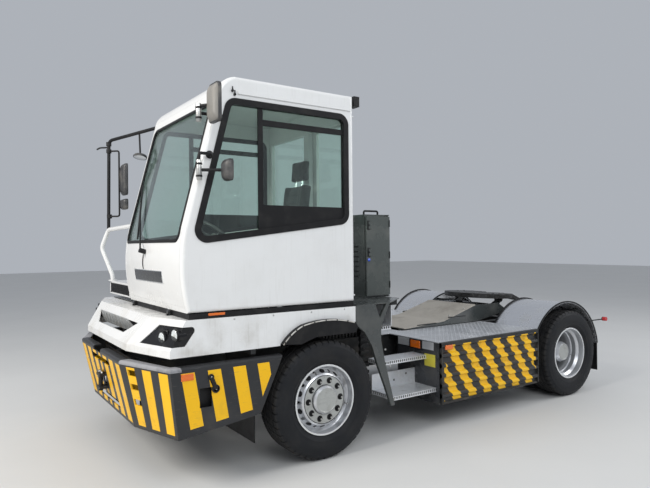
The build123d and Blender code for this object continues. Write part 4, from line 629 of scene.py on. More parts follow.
# Cab plinth
# The dark rubber-faced band that closes the gap between the skirt and the cab floor, with an
# orange marker pressed into its left side.
dress(rubber, "cab_plinth")
marker = bmesh.new()
plank(marker, (2.272, 1.189, 1.287), (2.406, 1.1955, 1.306))
piece("plinth_marker", marker, "chassis", orange_lens, 0.002)

# Cab shell
# Pressed and welded steel panels in white gloss, with a drip rail pressed on above the side
# window and two lashing hooks on the front pillar.
dress(white_paint, "cab_front", "cab_sides", "cab_roof", "cab_rear")


@surface("floor_lug_shade_paint")
def floor_lug_shade_paint(place):
    sockets = white_recipe(place)
    # Painted shade: below the floor line the white paint turns near-black, so the floor's lugs read as the
    # shaded gap under the cab.
    below = axes(place)[2] < 1.313
    sockets["Base Color"] = mix(below, sockets["Base Color"], (0.020, 0.021, 0.022))
    return sockets


dress(floor_lug_shade_paint, "cab_floor")

hooks = bmesh.new()
for x, z in ((2.200, 2.995), (2.181, 2.968)):
    bar(hooks, (x, 1.199, z), (x, 1.214, z), 0.010, 16)
    bar(hooks, (x, 1.212, z), (x + 0.004, 1.216, z + 0.030), 0.005, 12)
piece("pillar_hooks", hooks, "cab", black_plastic, 0.001)

# Badge plate, left bare
# A blank plate in dark enamel with a thin bright edge, screwed on under the windscreen and
# bent to the cab's bow.


@surface("dark_enamel")
def dark_enamel(place):
    dust = patches(place, 0.45, 0.75, 11, 7)
    colour = mix(dust * 0.4, (0.018, 0.019, 0.021), (0.10, 0.095, 0.088))
    return coat(colour, 0.22 + 0.3 * dust, cloud(place, 55, 3), 0.0003, 0.002, Coat_Weight=0.4)


def shell(bm, near, far):
    """A closed skin between two grids of points of the same size."""
    borders = []
    for rows in (near, far):
        grid = [laid(bm, row) for row in rows]
        for first, second in zip(grid, grid[1:]):
            for corners in zip(first, first[1:], second[1:], second):
                bm.faces.new(corners)
        right = [row[-1] for row in grid[1:-1]]
        borders.append(grid[0] + right + grid[-1][::-1] + [row[0] for row in grid[-2:0:-1]])
    skin(bm, borders)


def cab_nose(y, z):
    """How far forward the cab's front stands at one place: it bows to the middle and bulges."""
    if z < 1.950:
        bulge = arc((1.314, 2.567), (1.700, 2.660), (1.950, 2.632), 60)
        x = min(bulge, key=lambda point: abs(point[0] - z))[1]
        share = min((z - 1.314) / 0.386, 1)
    else:
        x = 2.632 - (z - 1.950) * 0.307
        share = 1 - (z - 1.950)
    return x - 0.045 * share * min(abs((y - 0.450) / 0.705), 1) ** 2


def bowed_plate(bm, y, z, wide, tall, out):
    """A plate on the cab's front that follows its bow, let 4 mm into the panel."""
    spots = [[(y + wide * step / 13, z + tall * row / 2) for step in range(14)] for row in range(3)]
    shell(bm, *([[(cab_nose(*spot) + x, *spot) for spot in row] for row in spots] for x in (-0.004, out)))


badge, badge_edge = blanks(2)
bowed_plate(badge, 0.157, 1.527, 0.687, 0.085, 0.0065)
bowed_plate(badge_edge, 0.151, 1.521, 0.699, 0.097, 0.0045)
piece("badge_plate", badge, "cab", dark_enamel, 0.0015)
piece("badge_edge", badge_edge, "cab", chrome, 0.001)

# Windscreen and windows
# Laminated windscreen in a thin black gasket, and toughened side panes with a faint green
# tint. The glass carries a faint patchy dust.
dress(clear_glass("window_glass", (0.87, 0.94, 0.91), 0.03), "cab_glass", "door_glass")


def oblong(half_wide, half_tall, corner):
    """Points round an oblong with rounded corners, seven to a corner."""
    points = []
    for across, up, turn in ((1, 1, 0), (-1, 1, 90), (-1, -1, 180), (1, -1, 270)):
        for step in range(7):
            angle = math.radians(turn + 15 * step)
            wide, tall = corner * math.cos(angle), corner * math.sin(angle)
            points.append((across * (half_wide - corner) + wide, up * (half_tall - corner) + tall))
    return points


gasket = bmesh.new()
outline = [(0.450 + y, 2.375 + z) for y, z in oblong(0.675, 0.525, 0.060)]
path = []
for (y, z), (far_y, far_z) in zip(outline, outline[1:] + outline[:1]):
    parts = max(1, round(math.hypot(far_y - y, far_z - z) / 0.061))
    path += [(y + (far_y - y) * part / parts, z + (far_z - z) * part / parts) for part in range(parts)]
rows = []
for index, (y, z) in enumerate(path):
    across = sideways(path, index, True) * 0.013
    ring = []
    for share, out in ((1, -0.016), (1, 0.0027), (0.5, 0.0045), (-0.5, 0.0045), (-1, 0.0027), (-1, -0.016)):
        spot = (y + across.x * share, z + across.y * share)
        ring.append((cab_nose(*spot) + out, *spot))
    rows.append(laid(gasket, ring))
skin(gasket, rows, closed=True)
piece("screen_gasket", gasket, "cab", rubber)

# Window seals
# Extruded black rubber that grips the panel and the pane, with the bars of the side window.
dress(rubber, "window_seals")

# Wiper
# A cast spindle block, a sprung steel arm and a rubber blade, all in black. A thin washer pipe
# is clipped to the panel below it.
dress(black_plastic, "wiper")


def pipe(bm, points, radius, corner=0.03, sides=16):
    """A rigid bent pipe: straight runs joined by round corners."""
    points = [Vector(point) for point in points]
    route = points[:1]
    for before, here, after in zip(points, points[1:], points[2:]):
        back, on = before - here, after - here
        cut = min(corner, back.length * 0.48, on.length * 0.48)
        start, end = here + back.normalized() * cut, here + on.normalized() * cut
        bend = [step / 6 for step in range(7)]
        route += [start.lerp(here, share).lerp(here.lerp(end, share), share) for share in bend]
    route.append(points[-1])
    up = (route[1] - route[0]).normalized().orthogonal().normalized()
    angles = [math.tau * side / sides for side in range(sides)]
    rings = []
    for before, here, after in zip(route[:1] + route, route, route[1:] + route[-1:]):
        run = (after - before).normalized()
        up = (up - run * up.dot(run)).normalized()
        beside = run.cross(up)
        ring = [here + (up * math.cos(angle) + beside * math.sin(angle)) * radius for angle in angles]
        rings.append(laid(bm, ring))
    skin(bm, rings, capped=True)


washer = bmesh.new()
route = ((0.452, 1.745), (0.430, 1.700), (0.420, 1.660), (0.432, 1.622))
pipe(washer, [(cab_nose(y, z) + 0.004, y, z) for y, z in route], 0.0035, 0.02, 10)
piece("washer_pipe", washer, "cab", black_plastic)

# Left mirrors
# Two moulded heads on bent black arms. Each arm ends in a bright swivel post. The upper head
# has a grey-beige back in a black edge, and the lower one is a dark domed shell.


def shell_plastic(name, under, over):
    """Moulded plastic of one colour, with a fine grain and settled dust."""

    @surface(name)
    def material(place):
        dust = patches(place, 0.44, 0.76, 10, 8, 0.6)
        colour = mix(dust * 0.45, mix(cloud(place, 6), under, over), (0.30, 0.28, 0.25))
        return coat(colour, 0.38 + 0.3 * dust, grains(place, 700.0), 0.00025, 0.003)

    return material


@surface("mirror_glass")
def mirror_glass(place):
    streak = patches(stretched(place, 6, 6, 30), 0.5, 0.8, 3, 5)
    colour = mix(streak, (0.90, 0.92, 0.93), (0.72, 0.73, 0.72))
    return coat(colour, 0.03 + 0.12 * streak, cloud(place, 5, 1), 0.0002, Metallic=1.0)


beige_plastic = shell_plastic("beige_plastic", (0.20, 0.19, 0.175), (0.26, 0.25, 0.23))
dark_plastic = shell_plastic("dark_shell_plastic", (0.030, 0.031, 0.033), (0.050, 0.050, 0.052))


def mirror_head(bm, low, high, corner, dome, shrink=0.0, reach=(0.0, 1.0)):
    """A mirror's shell: a rounded oblong from the front, domed along X."""
    middle_y, middle_z = (low[1] + high[1]) / 2, (low[2] + high[2]) / 2
    outline = oblong((high[1] - low[1]) / 2 - shrink, (high[2] - low[2]) / 2 - shrink, corner)
    rings = []
    for step in range(8):
        share = reach[0] + (reach[1] - reach[0]) * step / 7
        size = math.sqrt(1 - (max(share - 0.25, 0) / 0.75 * dome) ** 2)
        x = low[0] + (high[0] - low[0]) * share
        rings.append(laid(bm, [(x, middle_y + y * size, middle_z + z * size) for y, z in outline]))
    skin(bm, rings, capped=True)


def mirror_pane(low, high, corner):
    """The glass let into a mirror's face."""
    x, y, z = low
    mirror_head(glasses, (x - 0.001, y, z), (x + 0.003, *high[1:]), corner, 0.0, 0.010)


upward = (0, 0, 1)
arms, swivels, upper_back, dark_shells, glasses = blanks(5)
post_x, post_y = 2.490, 1.245
for pillar_x, arm_z, low_z, high_z in ((2.308, 2.780, 2.715, 2.850), (2.390, 2.490, 2.290, 2.440)):
    route = [(pillar_x, 1.2003, arm_z), (pillar_x, post_y, arm_z), (post_x, post_y, arm_z)]
    if arm_z > high_z:
        route.append((post_x, post_y, (low_z + high_z) / 2))
    pipe(arms, route, 0.012, 0.02)
    turned(arms, (pillar_x, 1.2, arm_z), (0, 1, 0), [(0, 0), (0.030, 0), (0.030, 0.006), (0.014, 0.010)], 24)
    tall = high_z - low_z
    post = [(0, 0), (0.018, 0), (0.020, 0.004), (0.020, tall - 0.004), (0.018, tall), (0, tall)]
    turned(swivels, (post_x, post_y, low_z), upward, post, 32)
    clamp = [(0.0203, 0), (0.0235, 0), (0.0235, 0.014), (0.0203, 0.014)]
    for z in (low_z + 0.023, high_z - 0.037):
        turned(arms, (post_x, post_y, z), upward, clamp, 32)
upper = ((2.398, 1.270, 2.700), (2.453, 1.450, 2.985))
lower = ((2.295, 1.290, 2.285), (2.355, 1.420, 2.445))
pipe(arms, [(post_x, post_y, 2.8325), (2.446, 1.300, 2.8325)], 0.012)
pipe(arms, [(post_x, post_y, 2.365), (2.350, 1.320, 2.365)], 0.012)
mirror_head(dark_shells, *upper, 0.035, 0.35, reach=(0.0, 0.45))
mirror_head(upper_back, (2.400, 1.278, 2.708), (2.452, 1.442, 2.977), 0.030, 0.75, reach=(0.1, 1.0))
mirror_head(dark_shells, *lower, 0.030, 0.92)
mirror_pane(*upper, 0.026)
mirror_pane(*lower, 0.026)

# Right mirror frame
# A bulging white tube stands on the air box and carries a slim black mast that bends over to
# the roof. A thin rod on the mast holds two tall heads, and a kerb mirror hangs from the top bar.
base_tube, kerb, kerb_glass = blanks(3)
mast_y, rod_x, rod_y = -1.080, 2.478, -1.0
tube = [(2.530, mast_y, 1.454), (2.535, mast_y, 1.510), (2.620, -1.180, 1.800), (2.570, mast_y, 1.990)]
pipe(base_tube, tube + [(2.530, -0.390, 2.005), (2.530, -0.3003, 2.005)], 0.022, 0.05, 24)
turned(base_tube, (2.530, mast_y, 1.450), upward, [(0, 0), (0.045, 0), (0.045, 0.008), (0.024, 0.012)], 32)
mast = [(2.570, mast_y, 1.990), (2.560, mast_y, 2.930), (2.255, -0.380, 2.985), (2.255, -0.3003, 2.985)]
pipe(arms, mast, 0.017, 0.06, 20)
rod = [(2.565, mast_y, 2.130), (rod_x, rod_y, 2.130), (rod_x, rod_y, 2.820), (2.560, mast_y, 2.820)]
pipe(arms, rod, 0.009, 0.025)
pipe(arms, [(2.560, mast_y, 2.860), (2.595, -1.330, 2.890), (2.595, -1.450, 2.890)], 0.009, 0.06)
clamp = [(0.017, 0), (0.026, 0.002), (0.026, 0.042), (0.017, 0.044)]
for z in (2.130, 2.820, 2.895):
    turned(arms, (2.561, mast_y, z - 0.022), upward, clamp, 24)
    bolt(swivels, (2.561, -1.107, z), (0, -1, 0), 0.006)
for low_z, high_z in ((2.350, 2.680), (2.200, 2.310)):
    low, high = (2.423, -1.030, low_z), (2.476, -0.860, high_z)
    mirror_head(dark_shells, low, high, 0.028, 0.80)
    mirror_pane(low, high, 0.024)
kerb_middle = (2.360, -0.640, 2.725)
pipe(arms, [(2.368, -0.640, 2.960), kerb_middle], 0.009)
dome = [(0, 0.022), (0.5, 0.020), (0.86, 0.011), (1.0, -0.004), (0.98, -0.014), (0, -0.014)]
pane = [(0, -0.0225), (0.60, -0.019), (0.90, -0.0135), (0.90, -0.0125), (0, -0.0125)]
hung = Matrix.Translation(kerb_middle) @ Matrix.Rotation(math.radians(-16.7), 4, "Y")
hung = hung @ Matrix.Diagonal((0.065, 0.120, 1, 1))
for bm, profile in ((kerb, dome), (kerb_glass, pane)):
    turned(bm, (0, 0, 0), upward, profile, 48)
    bmesh.ops.transform(bm, matrix=hung, verts=bm.verts)
mirror_arms = piece("mirror_arms", arms, "cab", black_plastic)
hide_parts("mirrors")
piece("mirror_swivels", swivels, "cab", zinc)
piece("mirror_base_tube", base_tube, "cab", white_paint)
piece("upper_mirror_back", upper_back, "cab", beige_plastic, 0.002)
piece("mirror_shells", dark_shells, "cab", dark_plastic, 0.002)
piece("kerb_mirror", kerb, "cab", dark_plastic)
piece("kerb_mirror_glass", kerb_glass, "cab", mirror_glass)
piece("mirror_glasses", glasses, "cab", mirror_glass, 0.0008)

# Rear door
# A sliding panel of folded steel sheet in the cab's white gloss. It runs between an upper and
# a lower runner, and a bent black grip is screwed to its outer face.
dress(white_paint, "rear_door")
door_grip = bmesh.new()
grip = [(1.006, 0.560, 1.700), (0.985, 0.560, 1.700), (0.985, 0.560, 1.900), (1.006, 0.560, 1.900)]
pipe(door_grip, grip, 0.009, 0.02)
piece("rear_door_grip", door_grip, "rear_door", black_plastic)

# Work lamps
# Two square lamps at the rear corners of the roof: black moulded housings with ribbed clear
# fronts pressed into them.
dress(black_plastic, "work_lamps")
lamp_lens = lens("ribbed_lens", (0.62, 0.64, 0.64), 0.4)
low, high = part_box("work_lamps")
work_lenses = bmesh.new()
for y in (low.y + 0.0475, high.y - 0.0475):
    plank(work_lenses, (low.x - 0.0005, y - 0.038, low.z + 0.010), (low.x + 0.006, y + 0.038, high.z - 0.010))
piece("work_lenses", work_lenses, "cab", lamp_lens, 0.003)

# Driver's seat
# A sprung seat on a moulded pedestal. Foam cushions in woven charcoal cloth, with sewn
# channels and a piped edge, and a headrest on two bright posts.


def weave(place, direction, scale):
    """Threads that run one way."""
    return place.node("TexWave", {"bands_direction": direction}, {"Vector": place, "Scale": scale})


@surface("seat_cloth")
def seat_cloth(place):
    threads = weave(place, "Y", 300.0) * weave(place, "DIAGONAL", 210.0)
    fluff = patches(place, 0.48, 0.76, 16, 8, 0.65)
    colour = mix(threads, (0.016, 0.017, 0.019), (0.050, 0.052, 0.056))
    colour = mix(fluff * 0.35, colour, (0.11, 0.105, 0.098))
    return coat(colour, 0.82 + 0.12 * fluff, threads, 0.0006, Sheen_Weight=0.35)


@surface("seat_piping")
def seat_piping(place):
    twist = weave(place, "DIAGONAL", 160.0)
    colour = mix(twist, (0.010, 0.010, 0.011), (0.045, 0.045, 0.048))
    return coat(colour, 0.62 + 0.2 * twist, twist, 0.0006)


def swelled(pad):
    """Make a pad's modifiers its own mesh."""
    bpy.context.view_layer.update()
    made = pad.evaluated_get(bpy.context.evaluated_depsgraph_get())
    pad.data = bpy.data.meshes.new_from_object(made)
    pad.modifiers.clear()


def foam(name, place, half, crown, bolster, cap):
    """A foam cushion: a crowned form with raised sides, swelled as stuffed cloth. The place
    turns its own axes (depth, width, thickness) into the machine's.
    """
    bm = bmesh.new()
    bmesh.ops.create_cube(bm, size=2)
    bmesh.ops.subdivide_edges(bm, edges=bm.edges, cuts=9, use_grid_fill=True)
    for vert in bm.verts:
        a, b, c = vert.co
        ends = 1 - 0.035 * (1 - b * b) * a * a
        sides = 1 - 0.035 * (1 - a * a) * b * b
        corner = 1 - 0.045 * (a * b) ** 4
        roll = max(0.0, (abs(b) - 0.45) / 0.55) * (1 - abs(b) ** 9)
        rise = crown * (1 - a * a) * (1 - b * b) + bolster * roll
        tall = c + rise * max(c, 0)
        vert.co = (a * ends * corner * half[0], b * sides * corner * half[1], tall * half[2])
    mesh = bpy.data.meshes.new(name)
    bm.to_mesh(mesh)
    bm.free()
    pad = bpy.data.objects.new(name, mesh)
    bpy.context.scene.collection.objects.link(pad)
    remesh = pad.modifiers.new("voxels", "REMESH")
    remesh.mode = "VOXEL"
    remesh.voxel_size = 0.011
    swelled(pad)
    rest = [vert.co.copy() for vert in pad.data.vertices]
    stuffing = pad.modifiers.new("stuffing", "CLOTH")
    stuffing.settings.use_pressure = True
    stuffing.settings.uniform_pressure_force = 4
    stuffing.settings.effector_weights.gravity = 0
    stuffing.point_cache.frame_start = 1
    stuffing.point_cache.frame_end = 20
    for step in range(1, 21):
        bpy.context.scene.frame_set(step)
    swelled(pad)
    for vert, before in zip(pad.data.vertices, rest):
        moved = vert.co - before
        if moved.length > cap:
            vert.co = before + moved.normalized() * cap
    bpy.context.scene.frame_set(1)
    pad.data.transform(place)
    pad.data.shade_smooth()
    pad.modifiers.new("smooth", "SUBSURF").levels = 1
    pad.modifiers["smooth"].render_levels = 1
    pad.data.materials.clear()
    pad.data.materials.append(seat_cloth)
    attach(pad, "cab")
    return pad


def seam(bm, pad, place, path, radius):
    """A line of piping laid on a cushion's face along a path in its own axes."""
    bpy.context.view_layer.update()
    out = (place.to_3x3() @ Vector((0, 0, 1))).normalized()
    hits = [pad.ray_cast(place @ Vector((a, b, 0.12)), -out) for a, b in path]
    route = [hit[1] for hit in hits if hit[0]]
    if len(route) > 2:
        pipe(bm, route, radius, 0.001, 8)


seams = bmesh.new()
cushions = []
for name, middle, lean, half, crown, bolster, cap, fill, rows in (
    ("seat_cushion", (1.492, 0.480, 1.694), -3, (0.238, 0.226, 0.036), 0.30, 0.85, 0.010, 0.7, 4),
    ("seat_backrest", (1.212, 0.480, 2.080), 82.5, (0.312, 0.214, 0.030), 0.45, 1.00, 0.010, 0.7, 6),
    ("seat_headrest", (1.147, 0.480, 2.520), 85, (0.098, 0.126, 0.028), 0.35, 0.10, 0.008, 0.8, 1),
):
    place = Matrix.Translation(middle) @ Matrix.Rotation(math.radians(lean), 4, "Y")
    pad = foam(name, place, half, crown, bolster, cap)
    cushions.append((pad, place, half[0], half[1], rows))
for pad, place, long, wide, rows in cushions:
    for inside in (wide * 0.56, -wide * 0.56):
        seam(seams, pad, place, [(long * (0.9 - 1.8 * step / 24), inside) for step in range(25)], 0.0028)
    for row in range(rows):
        a = long * (-0.78 + 1.56 * (row + 0.5) / rows)
        seam(seams, pad, place, [(a, wide * (0.55 - 1.1 * step / 16)) for step in range(17)], 0.0022)
piece("seat_seams", seams, "cab", seat_piping)

pedestal, seat_metal, lever = blanks(3)
for fold in range(7):
    z = 1.420 + fold * 0.033
    inset = 0.010 * (fold % 2)
    high = z + (0.018 if fold < 6 else 0.01485)
    plank(pedestal, (1.300 + inset, 0.320 + inset, z - 0.018), (1.660 - inset, 0.640 - inset, high))
plank(pedestal, (1.290, 0.310, 1.3595), (1.670, 0.650, 1.405))
plank(pedestal, (1.262, 0.262, 1.640), (1.715, 0.698, 1.656))
for y in (0.425, 0.535):
    bar(seat_metal, (1.166, y, 2.360), (1.152, y, 2.450), 0.0065, 16)
for y in (0.325, 0.635):
    plank(seat_metal, (1.300, y - 0.014, 1.3592), (1.690, y + 0.014, 1.3700))
bar(lever, (1.560, 0.690, 1.652), (1.660, 0.712, 1.648), 0.007, 14)
bar(lever, (1.640, 0.709, 1.648), (1.700, 0.716, 1.646), 0.012, 14)
seat_pedestal = piece("seat_pedestal", pedestal, "cab", rubber, 0.004)
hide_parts("seat")
piece("headrest_posts", seat_metal, "cab", chrome, 0.001)
piece("seat_lever", lever, "cab", black_plastic, 0.002)

# Dashboard and steering
# A moulded dark binnacle across the cab with a hooded cluster, switches and vents. The wheel
# is a padded ring on two spokes, on an inclined column.
dress(dark_plastic, "dashboard")
binnacle, dials, dial_rings, switches, steering, stalks = blanks(6)
hood = [(2.145, 1.788), (2.165, 1.835), (2.235, 1.868), (2.330, 1.845), (2.385, 1.788)]
shell(binnacle, *([[(x, y, z) for x, z in hood], [(x, y, 1.784) for x, _ in hood]] for y in (0.265, 0.695)))
for y in (-0.10, 0.10, 0.860, 1.020):
    plank(binnacle, (2.120, y - 0.062, 1.705), (2.134, y + 0.062, 1.765))
for y in (0.360, 0.480, 0.600):
    face, out = (2.152, y, 1.817), (-1, 0, 0.45)
    turned(dials, face, out, [(0, 0), (0.040, 0), (0.040, 0.004), (0, 0.004)], 32)
    turned(dial_rings, face, out, [(0.040, 0), (0.045, 0), (0.045, 0.008), (0.040, 0.006)], 32, True)
for index in range(11):
    y = -0.04 + index * 0.028
    plank(switches, (2.119, y - 0.010, 1.722), (2.112, y + 0.010, 1.752))
for y in (0.860, 1.020):
    for fin in range(5):
        plank(switches, (2.114, y - 0.050, 1.714 + fin * 0.010), (2.126, y + 0.050, 1.716 + fin * 0.010))


@surface("dial_face")
def dial_face(place):
    x, y, z = axes(place)
    ticks = (wave(y * 900) > 0.93) * (z > 1.8)
    colour = mix(ticks, (0.012, 0.012, 0.014), (0.7, 0.7, 0.68))
    return coat(colour, 0.2 + 0.1 * cloud(place, 30), cloud(place, 80), 0.0001, Coat_Weight=0.8)


piece("dash_hood", binnacle, "cab", dark_plastic, 0.008)
piece("dials", dials, "cab", dial_face)
piece("dial_rings", dial_rings, "cab", chrome)
piece("dash_switches", switches, "cab", rubber, 0.002)

column = Vector((-0.150, 0, 0.170)).normalized()
hub = Vector((2.020, 0.480, 1.880))
tilt = column.to_track_quat("Z", "Y").to_matrix()
ring_path = []
for step in range(49):
    angle = math.tau * step / 48
    ring_path.append(hub + tilt @ Vector((0.209 * math.cos(angle), 0.209 * math.sin(angle), 0)))
pipe(steering, ring_path, 0.0148, 0.001, 14)
for angle in map(math.radians, (20, 160, 270)):
    way = tilt @ Vector((math.cos(angle), math.sin(angle), 0))
    bar(steering, hub - column * 0.008, hub + way * 0.205, 0.014, 12, 0.010)
boss = [(0, -0.02), (0.052, -0.02), (0.058, 0.0), (0.050, 0.012), (0.030, 0.016), (0, 0.017)]
turned(steering, hub, column, boss, 40)
bar(steering, hub - column * 0.02, (2.142, 0.480, 1.7415), 0.026, 32)
wheel = piece("steering_rim", steering, "cab", dark_plastic)
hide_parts("steering_wheel")
for y in (0.150, -0.150):
    bar(stalks, hub - column * 0.06, hub - column * 0.04 + Vector((0, y, 0.01)), 0.006, 12)
piece("column_stalks", stalks, "cab", rubber, 0.001)

# Floor mat and pedals
# Ribbed black rubber laid loose over the cab floor, and three pedals under the wheel, faced
# in the same rubber, each on a round arm.
mat = bmesh.new()
plank(mat, (1.100, -0.200, 1.3592), (2.120, 1.100, 1.364))
for rib in range(26):
    y = -0.180 + rib * 0.0495
    plank(mat, (1.110, y, 1.3630), (2.110, y + 0.018, 1.3665))
for y in (0.330, 0.480, 0.620):
    plank(mat, (2.130, y - 0.035, 1.440), (2.150, y + 0.035, 1.520))
    bar(mat, (2.150, y, 1.480), (2.270, y, 1.560), 0.009, 12)
piece("floor_mat", mat, "cab", rubber, 0.002)

# Air box
# A white folded box beside the cab that draws the cab's air through a dark punched plate.
# Four bolts at its corners hold the plate.
dress(white_paint, "air_box")
box_backing, mesh_bars, box_bolts = blanks(3)
low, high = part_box("air_box")
face_x, low_z, high_z = high.x, low.z, high.z
plank(box_backing, (face_x - 0.002, -1.040, low_z + 0.018), (face_x + 0.0015, -0.380, high_z - 0.018))
for step in range(56):
    y = -1.036 + step * 0.01185
    plank(mesh_bars, (face_x, y - 0.0018, low_z + 0.018), (face_x + 0.0045, y + 0.0018, high_z - 0.018))
for step in range(9):
    z = low_z + 0.020 + step * 0.01115
    plank(mesh_bars, (face_x, -1.040, z - 0.0018), (face_x + 0.005, -0.380, z + 0.0018))
for y in (-1.040, -0.380):
    plank(mesh_bars, (face_x, y - 0.004, low_z + 0.014), (face_x + 0.006, y + 0.004, high_z - 0.014))
for y in (-1.080, -0.340):
    for z in (low_z + 0.020, high_z - 0.020):
        bolt(box_bolts, (face_x, y, z), (1, 0, 0), 0.007)
piece("air_box_backing", box_backing, "cab", rubber)
piece("air_box_grille", mesh_bars, "cab", black_plastic)
piece("air_box_bolts", box_bolts, "cab", zinc)

# Cabinet behind the cab
# A grey-green gloss cabinet for the hydraulic and electric gear. Its door closes on two black
# latches, with a small blue lamp and a bent grab handle over it.


def gloss(name, under, over):
    """Gloss paint on sheet steel, chipped at its edges and a little dirty."""

    @surface(name)
    def material(place):
        film = patches(place, 0.46, 0.74, 4, 8, 0.6)
        chips = worn_edges(place, 0.003) * patches(place, 0.55, 0.66, 50, 4)
        colour = mix(film * 0.22, mix(cloud(place, 1.6), under, over), (0.20, 0.19, 0.17))
        colour = mix(chips, colour, (0.28, 0.25, 0.22))
        return coat(colour, 0.24 + 0.32 * film, cloud(place, 30, 2), 0.0004, 0.003, Coat_Weight=0.3)

    return material


cabinet_gloss = gloss("cabinet_gloss", (0.060, 0.070, 0.066), (0.080, 0.090, 0.084))
dress(cabinet_gloss, "cabinet", "cabinet_door")
door_trim, blue_lamp, cabinet_grips = blanks(3)
for z in (1.730, 2.000):
    plank(door_trim, (0.500, 0.740, z - 0.045), (0.530, 0.748, z + 0.045))
    bar(door_trim, (0.515, 0.744, z), (0.515, 0.752, z), 0.011, 20)
for z in (1.400, 1.700, 2.020):
    bar(door_trim, (0.2455, 0.744, z - 0.035), (0.2455, 0.744, z + 0.035), 0.0055, 16)
piece("cabinet_latches", door_trim, "cabinet_door", black_plastic, 0.002)
dome = [(0, 0), (0.016, 0), (0.016, 0.006), (0.010, 0.011), (0, 0.012)]
turned(blue_lamp, (0.515, 0.740, 1.655), (0, 1, 0), dome, 28)
blue_lens = lens("blue_lens", (0.02, 0.10, 0.75), 0.2)
piece("cabinet_lamp", blue_lamp, "cabinet_door", blue_lens)
grab = [(0.300, 0.62, 2.109), (0.300, 0.62, 2.150), (0.480, 0.62, 2.150), (0.480, 0.62, 2.109)]
pipe(cabinet_grips, grab, 0.010, 0.03)
for y in (-0.30, 0.10, 0.50):
    for row in range(7):
        z = 1.480 + row * 0.050
        plank(cabinet_grips, (0.5395, y - 0.10, z), (0.5440, y + 0.10, z + 0.012))
piece("cabinet_grab", cabinet_grips, "chassis", black_plastic, 0.001)

# Landing, posts and steps
# The platform behind the cab and the bent posts are grey-green painted steel. The steps are
# bright tread plate with a punched edge, bolted between the posts and the battery boxes.
frame_green = gloss("frame_green", (0.046, 0.052, 0.052), (0.062, 0.069, 0.068))
dress(frame_green, "landing", "step_posts")


def aluminium_recipe(place):
    scratch = patches(stretched(place, 4, 60, 60), 0.50, 0.72, 6, 6, 0.7)
    cross = patches(stretched(place, 60, 4, 60), 0.55, 0.75, 6, 6, 0.7)
    dirt = patches(place, 0.50, 0.80, 5, 9, 0.62)
    bare = mix(cloud(place, 3, 5), (0.74, 0.76, 0.79), (0.86, 0.87, 0.89))
    bare = mix(scratch * 0.35 + cross * 0.2, bare, (0.48, 0.48, 0.48))
    colour = mix(dirt * 0.45, bare, (0.22, 0.20, 0.175))
    height = cloud(place, 160, 3) + 0.4 * scratch
    shine = {"Metallic": 0.55 - 0.45 * dirt}
    return coat(colour, 0.30 + 0.16 * scratch + 0.35 * dirt, height, 0.0002, 0.0015, **shine)


tread_metal = surface("tread_plate_metal")(aluminium_recipe)


def leaning(column, row, long):
    """Half the length of a tread bar, which leans to the left and right in turn."""
    lean = math.radians(45 if (column + row) % 2 else -45)
    return Vector((math.cos(lean), math.sin(lean), 0)) * long


def treads(bm, node, x_range, y_range, z, pitch):
    """Raised lozenges wherever a plate lies below."""
    plate = frame["nodes"][node]
    rise, sink = Vector((0, 0, 0.0017)), Vector((0, 0, 0.0004))
    for column in range(int((x_range[1] - x_range[0]) / pitch)):
        for row in range(int((y_range[1] - y_range[0]) / pitch)):
            middle = Vector((x_range[0] + (column + 0.5) * pitch, y_range[0] + (row + 0.5) * pitch, z))
            long = leaning(column, row, pitch * 0.40)
            wide = Vector((-long.y, long.x, 0)) * 0.275
            ends = [middle + long * share + Vector((0, 0, 0.004)) for share in (1.5, -1.5)]
            if not all(plate.ray_cast(end, (0, 0, -1), distance=0.006)[0] for end in ends):
                continue
            foot = [middle + way - sink for way in (long, wide, -long, -wide)]
            a, b, c, d = laid(bm, foot)
            e, f = laid(bm, [middle + long * share + rise for share in (0.55, -0.55)])
            for face in ((a, b, e), (a, e, d), (c, f, b), (c, d, f), (b, f, e), (d, e, f), (d, c, b, a)):
                bm.faces.new(face)


landing_treads, step_plates, step_dark, step_bolts = blanks(4)
treads(landing_treads, "landing", (0.290, 2.490), (-1.195, 1.195), 1.275, 0.040)
piece("landing_treads", landing_treads, "chassis", frame_green, crease=80)

